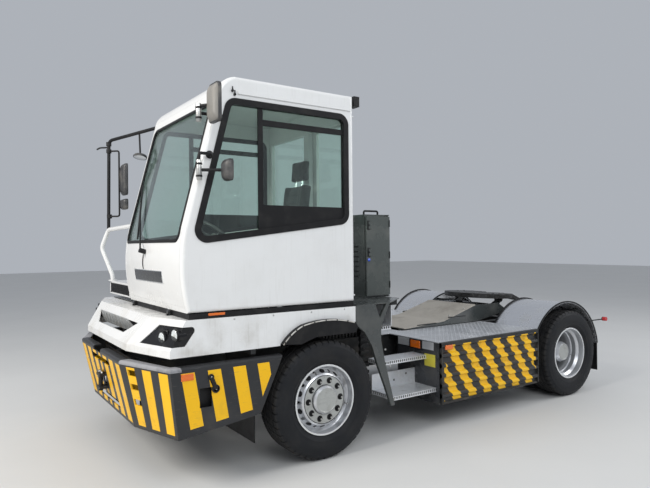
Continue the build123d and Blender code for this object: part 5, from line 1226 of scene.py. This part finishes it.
step_rows = (
    (0.395, 1.170, 0.860, 0.590, 0.028),
    (0.700, 1.040, 0.830, 0.610, 0.028),
    (1.010, 0.900, 0.640, 0.570, 0.370),
)
for side in (1, -1):
    for top, outer, inner, front, rear in step_rows:
        rim, lip = outer - 0.005, front - 0.005
        planks(step_plates, side, (rear, inner, top - 0.006, front, outer, top))
        for low, high in ((0.0, 0.008), (0.030, 0.040)):
            planks(step_plates, side, (rear, rim, top - high, front, outer, top - low))
            planks(step_plates, side, (lip, inner, top - high, front, outer, top - low))
        teeth = int((front - rear) / 0.026)
        for tooth in range(teeth):
            x = rear + (tooth + 0.5) * (front - rear) / teeth
            planks(step_plates, side, (x - 0.006, rim, top - 0.032, x + 0.006, outer, top - 0.006))
        teeth = int((outer - inner) / 0.026)
        for tooth in range(teeth):
            y = inner + (tooth + 0.5) * (outer - inner) / teeth
            planks(step_plates, side, (lip, y - 0.006, top - 0.032, front, y + 0.006, top - 0.006))
        web = (rear + 0.01, inner + 0.01, top - 0.036, front - 0.012, outer - 0.012, top - 0.0062)
        planks(step_dark, side, web)
        for column in range(int((front - rear) / 0.030)):
            for row in range(int((outer - inner) / 0.030)):
                x, y = rear + 0.020 + column * 0.030, inner + 0.020 + row * 0.030
                if x > front - 0.012 or y > outer - 0.012:
                    continue
                long, start = leaning(column, row, 0.011), Vector((x, side * y, top - 0.0008))
                bar(step_plates, start - long, start + long, 0.0022, 6)
    planks(
        step_plates,
        side,
        (0.028, 0.860, 0.392, 0.590, 0.866, 0.545),
        (0.362, 0.640, 1.004, 0.370, 0.900, 1.207),
    )
    for x, z in ((0.150, 0.500), (0.310, 0.455), (0.470, 0.500)):
        bar(step_dark, (x, side * 0.8655, z), (x, side * 0.8675, z), 0.011, 20)
    for rib in range(9):
        z = 0.440 + rib * 0.066
        planks(step_dark, side, (0.455, 0.615, z, 0.560, 0.655, z + 0.030))
    planks(step_dark, side, (0.500, 0.600, 0.400, 0.540, 0.620, 1.000))
    for x, z in ((0.597, 0.383), (0.645, 0.690), (0.700, 0.850)):
        bolt(step_bolts, (x, side * 1.2, z), (0, side, 0), 0.009)
    for y in (0.900, 0.990, 1.080):
        bolt(step_bolts, (0.0285, side * y, 0.378), (1, 0, 0), 0.008)
steps_made = piece("step_plates", step_plates, "chassis", tread_metal, 0.001)
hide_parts("steps")
piece("step_webs", step_dark, "chassis", charcoal, 0.002)
piece("step_bolts", step_bolts, "chassis", zinc)

# Battery boxes and guards
# Folded charcoal boxes between the axles. Each has a corrugated guard on its outer side,
# painted dark with leaning yellow bands, in a dark frame.
box_front, guard_front, guard_rear = 0.0285, 0.022, -1.484


@surface("guard_paint")
def guard_paint(place):
    x, y, z = axes(place)
    out = outward(y)
    run = (x - (z - 0.795) * 0.624 + 0.109) / 0.229 + 0.25
    room = (x > -1.440) * (x < -0.030) * (z > 0.262) * (z < 0.812) * (out > 1.216)
    bands = ((run % 1) < 0.50) * room
    tone = cloud(place, 4, 5)
    worn = patches(stretched(place, 3, 30, 30), 0.62, 0.68, 5, 7, 0.65) * (out > 1.240)
    grime = patches(place, 0.46, 0.74, 5, 9, 0.62) * (0.35 + 0.65 * (1 - ramp(out, 1.222, 1.248)))
    dark = mix(tone, (0.020, 0.021, 0.023), (0.032, 0.033, 0.035))
    colour = mix(bands, dark, mix(tone, (0.90, 0.50, 0.004), (0.94, 0.57, 0.012)))
    colour = mix(grime * 0.5, colour, (0.085, 0.076, 0.062))
    colour = mix(worn * 0.6, colour, (0.20, 0.19, 0.17))
    height = bands * 0.4 + 0.2 * cloud(place, 300, 2)
    return coat(colour, 0.40 + 0.3 * grime, height, 0.0005, 0.005)


dress(guard_paint, "side_guards")
dress(gloss("box_charcoal", (0.022, 0.023, 0.027), (0.032, 0.034, 0.039)), "side_boxes")
box_trim, box_markers, box_lamp_frames, guard_frame, blank_plates = blanks(5)
for side in (1, -1):
    planks(box_trim, side, (box_front, 0.620, 0.755, 0.0335, 1.140, 0.832))
    planks(box_lamp_frames, side, (0.0335, 0.800, 0.742, 0.0400, 0.985, 0.836))
    planks(box_markers, side, (0.0395, 0.822, 0.752, 0.0460, 0.962, 0.826))
    planks(box_markers, side, (-0.120, 1.2455, 0.772, -0.018, 1.2570, 0.816))
    planks(blank_plates, side, (0.0283, 1.010, 0.590, 0.0300, 1.160, 0.712))
    for x in (guard_front, guard_rear):
        planks(guard_frame, side, (x - 0.006, 1.214, 0.253, x + 0.006, 1.2525, 0.843))
    planks(guard_frame, side, (guard_rear, 1.214, 0.815, guard_front, 1.2515, 0.843))
    planks(guard_frame, side, (guard_rear, 1.214, 0.240, guard_front, 1.2350, 0.262))
    for x in (-0.050, -0.400, -0.760, -1.120, -1.440):
        bolt(guard_frame, (x, side * 1.2510, 0.829), (0, side, 0), 0.008)


@surface("yellow_plate")
def yellow_plate(place):
    fade = cloud(place, 20, 5)
    grime = patches(place, 0.5, 0.75, 25, 7)
    colour = mix(grime * 0.3, mix(fade, (0.70, 0.60, 0.05), (0.78, 0.68, 0.09)), (0.30, 0.26, 0.15))
    return coat(colour, 0.35 + 0.2 * grime, fade, 0.0002)


piece("box_strips", box_trim, "chassis", tread_metal, 0.001)
piece("box_lamp_frames", box_lamp_frames, "chassis", rubber, 0.002)
piece("box_markers", box_markers, "chassis", orange_lens, 0.003)
piece("guard_frames", guard_frame, "chassis", charcoal, 0.002)
piece("blank_plates", blank_plates, "chassis", yellow_plate, 0.0006)

# Decks
# Bright aluminium tread plate over the boxes and ahead of the boom, with lozenges rolled into
# it. Countersunk bolts hold it down.


@surface("deck_sheet")
def deck_sheet(place):
    sockets = aluminium_recipe(place)
    trodden = 0.35 + 0.30 * patches(place, 0.4, 0.7, 3, 7)
    sockets["Base Color"] = mix(trodden, sockets["Base Color"], (0.25, 0.26, 0.28))
    return sockets


dress(deck_sheet, "deck")
deck_treads = bmesh.new()
treads(deck_treads, "deck", (-1.505, 0.286), (-1.210, 1.210), 0.843, 0.030)
piece("deck_treads", deck_treads, "chassis", tread_metal, crease=80)

# Rear mudguards and flaps
# Rolled mill aluminium with a black rubber edge, carried on tube brackets. Black rubber flaps
# hang behind the rear wheels and ahead of the front wheels.


@surface("mill_aluminium")
def rolled_metal(place):
    brush = cloud(stretched(place, 40, 1.5, 40), 3, 4, 0.55)
    film = patches(place, 0.46, 0.76, 4, 9, 0.62)
    drip = patches(stretched(place, 22, 22, 2), 0.55, 0.75, 3, 5)
    bare = mix(brush, (0.60, 0.61, 0.64), (0.76, 0.77, 0.80))
    colour = mix(film * 0.45 + drip * 0.2, bare, (0.25, 0.235, 0.21))
    shine = {"Metallic": 0.85 - 0.5 * film}
    return coat(colour, 0.18 + 0.10 * brush + 0.26 * film, brush, 0.00005, 0.002, **shine)


dress(rolled_metal, "rear_mudguards")
dress(rubber, "mudflaps")
guard_edges, flap_bolts = blanks(2)
edge_path = arc((-1.5085, 0.800), (-2.100, 1.1015), (-2.7015, 0.560), 40)
for side in (1, -1):
    for y in (1.2205, 0.6160):
        strip(guard_edges, edge_path, -0.016, side * (y - 0.0045), side * (y + 0.0075))
    for y in (0.680, 0.920, 1.160):
        bolt(flap_bolts, (-2.7085, side * y, 0.578), (-1, 0, 0), 0.009)
        bolt(flap_bolts, (2.0095, side * (y - 0.06), 0.975), (-1, 0, 0), 0.008)
piece("mudguard_edges", guard_edges, "chassis", rubber, 0.001)
piece("flap_bolts", flap_bolts, "chassis", zinc)

# Tail lamps
# Long oblong lamps on the rear bar, red with an amber and a clear end, and a red marker in a
# rubber ring on each rubber stalk.
dress(lens("red_lens", (0.62, 0.010, 0.012), 0.3), "tail_lamps")
amber_ends, clear_ends, tail_frames = blanks(3)
ring = [(0, 0), (0.022, 0), (0.0255, 0.006), (0.0255, 0.014), (0.020, 0.016)]
for side in (1, -1):
    planks(amber_ends, side, (-2.9298, 0.795, 0.672, -2.9150, 0.853, 0.768))
    planks(clear_ends, side, (-2.9298, 0.567, 0.672, -2.9150, 0.612, 0.768))
    for z in (0.655, 0.773):
        planks(tail_frames, side, (-2.9295, 0.553, z, -2.912, 0.867, z + 0.012))
    for y in (0.553, 0.860):
        planks(tail_frames, side, (-2.9295, y, 0.655, -2.912, y + 0.007, 0.785))
    turned(tail_frames, (-2.904, side * 1.178, 0.840), (0, side, 0), ring, 28)
piece("tail_amber", amber_ends, "chassis", orange_lens, 0.002)
piece("tail_clear", clear_ends, "chassis", lamp_lens, 0.002)
piece("tail_frames", tail_frames, "chassis", rubber, 0.002)

# Front axle, springs and steering
# A forged beam under two multi-leaf springs, cast knuckles with brake drums, and a steel tie
# rod. Everything is sprayed black and dusty.
front_x, rear_x, tyre_radius = 1.370, -2.130, 0.500
dress(charcoal, "front_axle", "knuckle_left", "knuckle_right", "tie_rod", "front_springs")
leaves, spring_clips = blanks(2)
bow = arc((front_x - 0.560, 0.563), (front_x, 0.543), (front_x + 0.560, 0.563), 24)
for side in (1, -1):
    for leaf in range(7):
        half = 0.500 - 0.062 * leaf
        path = [(x, z - 0.013 * leaf - 0.012) for x, z in bow if abs(x - front_x) <= half]
        strip(leaves, path, 0.0105, side * 0.358, side * 0.424)
    for x in (1.255, 1.485):
        for y in (0.352, 0.430):
            bar(spring_clips, (x, side * y, 0.432), (x, side * y, 0.592), 0.009, 16)
        for z in (0.428, 0.580):
            planks(spring_clips, side, (x - 0.014, 0.344, z, x + 0.014, 0.438, z + 0.012))
    for x in (0.835, 1.905):
        bar(spring_clips, (x, side * 0.346, 0.566), (x, side * 0.432, 0.566), 0.024, 24)
piece("spring_leaves", leaves, "chassis", charcoal, 0.001)
piece("spring_clips", spring_clips, "chassis", charcoal, 0.001)

# Drive motor and rear axle
# A finned cast motor housing between the rails, and a cast rear axle with its driving shaft.
# Long bolts clamp the axle to its brackets.


@surface("cast_metal")
def cast_metal(place):
    grain = cloud(place, 130, 5, 0.65)
    oil = patches(place, 0.48, 0.70, 4, 8, 0.6)
    dust = patches(place, 0.50, 0.75, 9, 8, 0.65)
    colour = mix(grain, (0.050, 0.050, 0.050), (0.085, 0.084, 0.080))
    colour = mix(dust * 0.5, colour, (0.16, 0.14, 0.115))
    colour = mix(oil * 0.6, colour, (0.018, 0.017, 0.016))
    return coat(colour, 0.62 - 0.28 * oil + 0.2 * dust, grain, 0.001, 0.004, Metallic=0.35 * oil)


dress(cast_metal, "drive_motor", "rear_axle")
fins, axle_bolts = blanks(2)
for fin in range(15):
    x = 0.400 + fin * 0.042
    for side in (1, -1):
        planks(fins, side, (x, 0.349, 0.620, x + 0.008, 0.372, 0.980))
    plank(fins, (x, -0.300, 1.018), (x + 0.008, 0.300, 1.034))
piece("motor_fins", fins, "chassis", cast_metal, 0.0015)
for step in range(12):
    angle = math.tau * step / 12
    bolt(axle_bolts, (-1.800, 0.064 * math.sin(angle), 0.500 + 0.064 * math.cos(angle)), (1, 0, 0), 0.007)
for side in (1, -1):
    for x in (-2.240, -2.020):
        for y in (0.345, 0.425):
            bar(axle_bolts, (x, side * y, 0.360), (x, side * y, 0.580), 0.010, 16)
piece("axle_bolts", axle_bolts, "chassis", cast_metal)

# Tyres
# Black road rubber, a ribbed tread with four grooves round it, cross grooves at its shoulders
# and fine cuts between. The two rear tyres on each side are one piece, as they turn together.


def from_hub(place, middle_x):
    """How far a place lies from the middle line of a wheel."""
    spots = {0: stretched(place, 1, 0, 1), 1: (middle_x, 0, tyre_radius)}
    return place.node("VectorMath", {"operation": "DISTANCE"}, spots, "Value")


def tyre_rubber(name, middle_x):
    """Rubber with a dusty tread and fine rings on its sidewall."""

    @surface(name)
    def material(place):
        reach = from_hub(place, middle_x)
        tread = ramp(reach, 0.478, 0.492)
        dust = patches(place, 0.40, 0.74, 7, 9, 0.62)
        side = mix(cloud(place, 5, 4), (0.008, 0.009, 0.011), (0.015, 0.016, 0.019))
        colour = mix(tread, side, (0.020, 0.020, 0.021))
        colour = mix(dust * (0.14 + 0.18 * tread), colour, (0.085, 0.078, 0.068))
        height = 0.4 * wave(reach * 1600) * (1 - tread) + cloud(place, 240, 4)
        return coat(colour, 0.48 + 0.2 * dust + 0.12 * tread, height, 0.0006, Specular_IOR_Level=0.2)

    return material


def tyre_section():
    """The tyre's outer section as (radius, distance from its middle, depth of its cross cuts)."""
    near = [(0.290, 0.1097, 0), (0.3005, 0.1112, 0)]
    sidewall = arc((0.476, 0.134), (0.390, 0.150), (0.3115, 0.1237), 100)
    ridges = {86: 0.0016, 80: 0.0016, 17: 0.0014, 11: 0.0014}
    for step in (100, 90, 86, 80, 78, 62, 45, 30, 20, 17, 11, 9, 4, 0):
        radius, out = sidewall[step]
        near.append((radius, min(out + ridges.get(step, 0), 0.150), 0.0 if step else 0.008))
    near += [(0.4875, 0.129, 0.009), (0.494, 0.121, 0.009), (0.497, 0.112, 0.009)]
    for out in (0.110, 0.083, 0.0815, 0.0745, 0.073, 0.052, 0.031, 0.0295, 0.0225, 0.021, 0.0):
        crown = 0.497 + 0.003 * (1 - (out / 0.110) ** 2)
        if out in (0.0815, 0.0745, 0.0295, 0.0225):
            near.append((crown - 0.012, out, 0.0))
        else:
            near.append((crown, out, 0.009 if out > 0.080 else 0.0028))
    return near + [(radius, -out, cut) for radius, out, cut in reversed(near[:-1])]


def tyre(bm, middle_x, middle_y):
    """A tyre with 48 blocks round it, each cut at its leading end."""
    section = tyre_section()
    rings = []
    for pitch in range(48):
        for share, deep in ((0.0, 0), (0.05, 1), (0.17, 1), (0.22, 0), (0.48, 0), (0.74, 0)):
            ring = []
            for radius, out, cut in section:
                slant = 0.45 * out / 0.110 if abs(out) < 0.115 else 0.47 * math.copysign(1, out)
                angle = math.tau * (pitch + share + slant) / 48
                reach = radius - cut * deep
                x, z = reach * math.sin(angle), reach * math.cos(angle)
                ring.append((middle_x + x, middle_y + out, tyre_radius + z))
            rings.append(laid(bm, ring))
    skin(bm, rings, closed=True)


front_rubber = tyre_rubber("front_tyre_rubber", front_x)
rear_rubber = tyre_rubber("rear_tyre_rubber", rear_x)
for side, side_name in ((1, "left"), (-1, "right")):
    front_tread, rear_treads = blanks(2)
    tyre(front_tread, front_x, side * 1.090)
    tyre(rear_treads, rear_x, side * 1.100)
    tyre(rear_treads, rear_x, side * 0.760)
    body = f"front_wheel_{side_name}"
    made = piece(f"front_tread_{side_name}", front_tread, body, front_rubber, crease=28)
    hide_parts(f"front_tyre_{side_name}")
    body = f"rear_wheels_{side_name}"
    made = piece(f"rear_treads_{side_name}", rear_treads, body, rear_rubber, crease=28)
    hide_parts(f"rear_tyres_{side_name}")

# Wheels
# Pressed steel discs in silver paint, with a painted highlight at the rim's edge and painted
# shade deep in the dish. Ten nuts stand round a flat hub cap on dark discs painted as the
# shade of their recesses, and dark discs painted as shade fill the vents near the rim.


def rim_silver(name, middle_x, *shade_span):
    """Silver paint, with a painted highlight on the lip and painted shade deep inside, between two distances
    outward.
    """

    @surface(name)
    def material(place):
        # Painted shade: darker and duller deeper inside the wheel, between the two distances outward.
        deep = 1 - ramp(outward(axes(place)[1]), *shade_span)
        # Painted highlight: the lip at the rim's edge is lighter.
        lip = ramp(from_hub(place, middle_x), 0.284, 0.290)
        dirt = patches(place, 0.52, 0.90, 6, 7, 0.60)
        silver = mix(cloud(place, 6, 4), (0.60, 0.61, 0.63), (0.70, 0.71, 0.73))
        colour = mix(dirt * 0.35, mix(lip, silver, (0.80, 0.81, 0.82)), (0.24, 0.215, 0.18))
        colour = mix(deep * 0.80, colour, (0.085, 0.088, 0.088))
        shine = {"Metallic": (0.72 - 0.5 * dirt) * (1 - 0.7 * deep), "Specular_IOR_Level": 0.5}
        roughness = 0.30 + 0.26 * dirt + 0.3 * deep - 0.12 * lip
        return coat(colour, roughness, cloud(place, 120, 2), 0.00004, 0.003, **shine)

    return material


dress(rim_silver("front_rim_silver", front_x, 0.98, 1.00), "front_rim_left", "front_rim_right")
dress(rim_silver("rear_rim_silver", rear_x, 1.02, 1.075), "rear_rims_left", "rear_rims_right")


@surface("satin_cap")
def satin(place):
    dirt = patches(place, 0.48, 0.78, 18, 8, 0.64)
    spun = cloud(stretched(place, 40, 200, 40), 3, 4)
    colour = mix(dirt * 0.5, mix(spun, (0.40, 0.41, 0.40), (0.50, 0.51, 0.49)), (0.19, 0.17, 0.14))
    return coat(colour, 0.34 + 0.3 * dirt, spun, 0.0002, 0.001, Metallic=0.55 - 0.3 * dirt)


# The dark disc under each nut is painted shade for the nut's recess.
washer = [(0.0, 0), (0.0270, 0), (0.0270, 0.0022), (0.017, 0.0034), (0, 0.0034)]
for side, side_name in ((1, "left"), (-1, "right")):
    out = Vector((0, side, 0))
    for kind, body, middle_x, face_y, ring_radius, cap_radius, cap_y, valve_y in (
        ("front", "front_wheel_", front_x, 1.194, 0.1625, 0.104, 1.230, 1.154),
        ("rear", "rear_wheels_", rear_x, 0.930, 0.165, 0.094, 1.140, 1.075),
    ):
        nuts, recess_shades, caps = blanks(3)
        for step in range(10):
            angle = math.tau * (step + 0.5) / 10
            x, z = ring_radius * math.sin(angle), ring_radius * math.cos(angle)
            seat = Vector((middle_x + x, side * face_y, tyre_radius + z))
            turned(recess_shades, seat, out, washer, 28)
            bar(recess_shades, seat + out * 0.003, seat + out * 0.021, 0.0150, 6, 0.0140)
            bar(recess_shades, seat + out * 0.003, seat + out * 0.0065, 0.0175, 24)
            bar(nuts, seat + out * 0.020, seat + out * 0.028, 0.0085, 18, 0.0075)
        if kind == "front":
            face = Vector((middle_x, side * face_y, tyre_radius))
            # The two thin dark rings are painted shade for the grooves round the bolt face; the wide ring is
            # the bolt face.
            for ring, near, far, lift, sides in (
                (recess_shades, 0.1995, 0.2045, 0.0012, 96),
                (recess_shades, 0.1205, 0.1245, 0.0014, 72),
                (caps, 0.1250, 0.1985, 0.0016, 96),
            ):
                profile = [(near, -0.001), (far, -0.001), (far, lift), (near, lift)]
                turned(ring, face, out, profile, sides, True)
            # Dark discs over the vents are painted shade, so the vents read dark inside.
            for step in range(10):
                angle = math.tau * step / 10
                way = Vector((math.sin(angle), 0, math.cos(angle)))
                spot = Vector((middle_x, side * 1.158, tyre_radius)) + way * 0.2365
                lean = way * 0.859 + out * 0.512
                vent = [(0, 0), (0.0245, 0), (0.0225, 0.0022), (0, 0.0022)]
                turned(recess_shades, spot - lean * 0.001, lean, vent, 28)
        wide, low = cap_radius + 0.001, cap_radius - 0.009
        cap = [(0, -0.002), (wide, -0.002), (wide, 0.001), (cap_radius - 0.006, 0.0035)]
        cap += [(low, 0.001), (0, 0.001)]
        turned(caps, Vector((middle_x, side * cap_y, tyre_radius)), out, cap, 72)
        half = cap_radius * 0.84
        for z in (tyre_radius + 0.018, tyre_radius - 0.018):
            row = (middle_x - half, cap_y, z - 0.0022, middle_x + half, cap_y + 0.0036, z + 0.0022)
            planks(caps, side, row)
        valve = Vector((middle_x - 0.228, side * valve_y, tyre_radius - 0.070))
        bar(nuts, valve, valve + out * 0.055, 0.0045, 14)
        bar(nuts, valve + out * 0.045, valve + out * 0.062, 0.0060, 14)
        body += side_name
        piece(f"{kind}_nuts_{side_name}", nuts, body, zinc, 0.0008)
        piece(f"{kind}_recesses_{side_name}", recess_shades, body, rubber)
        piece(f"{kind}_cap_{side_name}", caps, body, satin, 0.0008)
    drums = bmesh.new()
    middle = Vector((front_x, side * 0.973, tyre_radius))
    for step in range(20):
        angle = math.tau * step / 20
        foot = middle + Vector((math.sin(angle), 0, math.cos(angle))) * 0.150
        bar(drums, foot, foot + Vector((0, side * 0.036, 0)), 0.006, 10)
    piece(f"drum_bolts_{side_name}", drums, "knuckle_" + side_name, cast_metal)

# Lifting boom
# Two welded arms with side plates, in dark grey. A ramp plate coated in a gritty sandy paint
# covers them and leads a trailer up to the fifth wheel.


@surface("gritty_sand_paint")
def gritty_paint(place):
    stain = patches(place, 0.47, 0.70, 3, 9, 0.66)
    rubs = patches(stretched(place, 2, 16, 16), 0.55, 0.68, 4, 7, 0.7)
    colour = mix(cloud(place, 2, 5), (0.40, 0.365, 0.315), (0.50, 0.465, 0.405))
    colour = mix(stain * 0.45, colour, (0.20, 0.175, 0.145))
    colour = mix(rubs * 0.35, colour, (0.27, 0.255, 0.23))
    return coat(colour, 0.80 + 0.12 * stain, grains(place, 330.0) * 0.8 + cloud(place, 90, 4), 0.0012)


dress(gritty_paint, "lift_ramp")
dress(frame_green, "lift_boom")
ramp_bolts, boom_trim = blanks(2)
ramp_heads = ((-0.330, 0.8650), (-0.560, 0.8790), (-0.800, 0.8935), (-1.000, 0.9490), (-1.250, 1.0200))
for side in (1, -1):
    for x, z in ramp_heads:
        bar(ramp_bolts, (x, side * 0.372, z - 0.006), (x, side * 0.372, z + 0.0022), 0.011, 24, 0.009)
    for x in (-1.500, -1.560):
        bolt(ramp_bolts, (x, side * 0.360, 1.035), upward, 0.009)
    pin_end = [(0, 0), (0.026, 0), (0.026, 0.003), (0, 0.003)]
    turned(boom_trim, (-0.190, side * 0.3385, 0.715), (0, side, 0), pin_end, 28)
    for z, x in ((0.880, -0.600), (0.930, -1.100)):
        planks(boom_trim, side, (x - 0.150, 0.3995, z - 0.006, x + 0.150, 0.4035, z + 0.006))
piece("ramp_bolts", ramp_bolts, "lift_boom", zinc)
piece("boom_trim", boom_trim, "lift_boom", charcoal, 0.001)

# Lift cylinders
# Painted steel barrels with a gland nut at the head, and hard-chromed rods that shine where
# the seals wipe them.


@surface("chromed_rod")
def chromed_rod(place):
    wipe = cloud(stretched(place, 3, 3, 60), 5, 5)
    oil = patches(place, 0.5, 0.75, 10, 6)
    colour = mix(oil * 0.3, mix(wipe, (0.70, 0.71, 0.73), (0.86, 0.87, 0.88)), (0.25, 0.21, 0.15))
    return coat(colour, 0.07 + 0.10 * wipe + 0.15 * oil, wipe, 0.0001, Metallic=1.0)


dress(cast_metal, "lift_barrels")
dress(chromed_rod, "lift_rods")
glands = bmesh.new()
foot, head = Vector((-1.090, 0, 0.400)), Vector((-1.130, 0, 0.880))
way = (head - foot).normalized()
reach = (head - foot).length - 0.090
for y in (0.235, -0.235):
    line = foot + Vector((0, y, 0))
    for spot, wide, long in ((reach - 0.030, 0.0590, 0.028), (0.070, 0.0580, 0.016)):
        profile = [(0.0552, 0), (wide, 0.002), (wide, long - 0.002), (0.0552, long)]
        turned(glands, line + way * spot, way, profile, 40)
    for spot in (0.090, reach - 0.060):
        port = line + way * spot
        bar(glands, port + Vector((0.050, 0, 0)), port + Vector((0.076, 0, 0)), 0.011, 6)
piece("cylinder_glands", glands, "lift_barrels", zinc, 0.001)

# Fifth wheel
# A cast steel coupling plate, black with grease on its worn top, on two rubber-bushed lugs. A
# pull handle reaches out of its side, and the jaw sits under the throat.


@surface("greasy_cast")
def greasy(place):
    smear = patches(stretched(place, 3, 9, 9), 0.44, 0.64, 4, 9, 0.68)
    top = ramp(axes(place)[2], 1.120, 1.150)
    bare = patches(stretched(place, 8, 2, 2), 0.50, 0.64, 4, 8, 0.7) * top * (1 - smear)
    colour = mix(cloud(place, 70, 4), (0.016, 0.016, 0.017), (0.030, 0.030, 0.030))
    colour = mix(bare * 0.6, colour, (0.20, 0.195, 0.19))
    colour = mix(smear * 0.75, colour, (0.014, 0.013, 0.011))
    roughness = 0.55 - 0.34 * smear * top - 0.12 * bare
    height = smear + 0.25 * cloud(place, 150, 3)
    return coat(colour, roughness, height, 0.0016, 0.005, Metallic=0.25 + 0.6 * bare)


dress(greasy, "fifth_wheel", "kingpin_jaw")
plate_parts = bmesh.new()
for side in (1, -1):
    for x in (-0.060, 0.060):
        bolt(plate_parts, (x, side * 0.300, 0.0672), upward, 0.011)
    for x in (-0.016, 0.016):
        bolt(plate_parts, (x, side * 0.376, -0.006), (0, side, 0), 0.007)
plug = [(0, 0), (0.016, 0), (0.016, 0.0016), (0.010, 0.0022), (0, 0.0022)]
for angle in (35, 65, 115, 145, 215, 325):
    turn = math.radians(angle)
    spot = (0.330 * math.cos(turn), 0.330 * math.sin(turn), 0.0665)
    turned(plate_parts, spot, upward, plug, 24)
handle = [(0.120, 0.080, 0.020), (0.120, 0.300, 0.020), (0.150, 0.452, 0.016), (0.210, 0.462, 0.016)]
pipe(plate_parts, handle, 0.008)
plate_place = Matrix.Translation((-1.940, 0, 1.088)) @ Matrix.Rotation(math.radians(-3), 4, "Y")
bmesh.ops.transform(plate_parts, matrix=plate_place, verts=plate_parts.verts)
piece("plate_fittings", plate_parts, "fifth_wheel", greasy, 0.001)

# Floor and light
# A plain pale floor, soft studio light from the left, and the camera where the photographer
# stood.


@surface("pale_floor")
def floor_paint(place):
    colour = mix(cloud(place, 0.7, 4), (0.60, 0.60, 0.59), (0.66, 0.66, 0.65))
    return coat(colour, 0.55 + 0.15 * cloud(place, 3, 5), cloud(place, 40, 4), 0.0006)


ground = bmesh.new()
floor_place = Matrix.Translation((0, 0, -0.001))
bmesh.ops.create_grid(ground, x_segments=4, y_segments=4, size=40, matrix=floor_place)
floor_mesh = bpy.data.meshes.new("floor")
ground.to_mesh(floor_mesh)
ground.free()
floor = bpy.data.objects.new("floor", floor_mesh)
bpy.context.scene.collection.objects.link(floor)
floor.data.materials.append(floor_paint)

bpy.context.scene.view_settings.view_transform = "Standard"
sky = bpy.data.worlds.new("studio")
sky.use_nodes = True
sky.node_tree.nodes["Background"].inputs["Color"].default_value = (0.84, 0.89, 0.97, 1)
sky.node_tree.nodes["Background"].inputs["Strength"].default_value = 0.50
bpy.context.scene.world = sky
for name, place, aim, size, power, tint in (
    ("front", (10.0, 1.0, 7.0), (1.5, 0, 1.2), 4.0, 800, (1.0, 0.96, 0.90)),
    ("key", (3.5, 9.5, 7.5), (0.0, 0.2, 1.2), 6.0, 420, (0.95, 0.98, 1.0)),
    ("rear", (-8.0, 5.0, 6.5), (-1.0, 0, 1.0), 5.0, 320, (1.0, 1.0, 1.0)),
):
    lamp = bpy.data.lights.new(name, "AREA")
    lamp.size = size
    lamp.energy = power
    lamp.color = tint
    stand = bpy.data.objects.new(name, lamp)
    stand.location = place
    stand.rotation_euler = (Vector(aim) - Vector(place)).to_track_quat("-Z", "Y").to_euler()
    bpy.context.scene.collection.objects.link(stand)

yaw, pitch, roll = math.radians(235.8), math.radians(-0.07), math.radians(-0.53)
ahead, up = Vector((math.cos(yaw), math.sin(yaw), 0)), Vector(upward)
across = ahead.cross(up)
sight = ahead * math.cos(pitch) - up * math.sin(pitch)
upright = ahead * math.sin(pitch) + up * math.cos(pitch)
right = across * math.cos(roll) + upright * math.sin(roll)
top = upright * math.cos(roll) - across * math.sin(roll)
turn = Matrix((right, top, -sight)).transposed().to_4x4()
view = bpy.data.cameras.new("view")
view.lens = 31.71
view.sensor_width = 36
camera = bpy.data.objects.new("view", view)
camera.matrix_world = Matrix.Translation((4.0831, 5.2158, 1.810)) @ turn
bpy.context.scene.collection.objects.link(camera)
bpy.context.scene.camera = camera
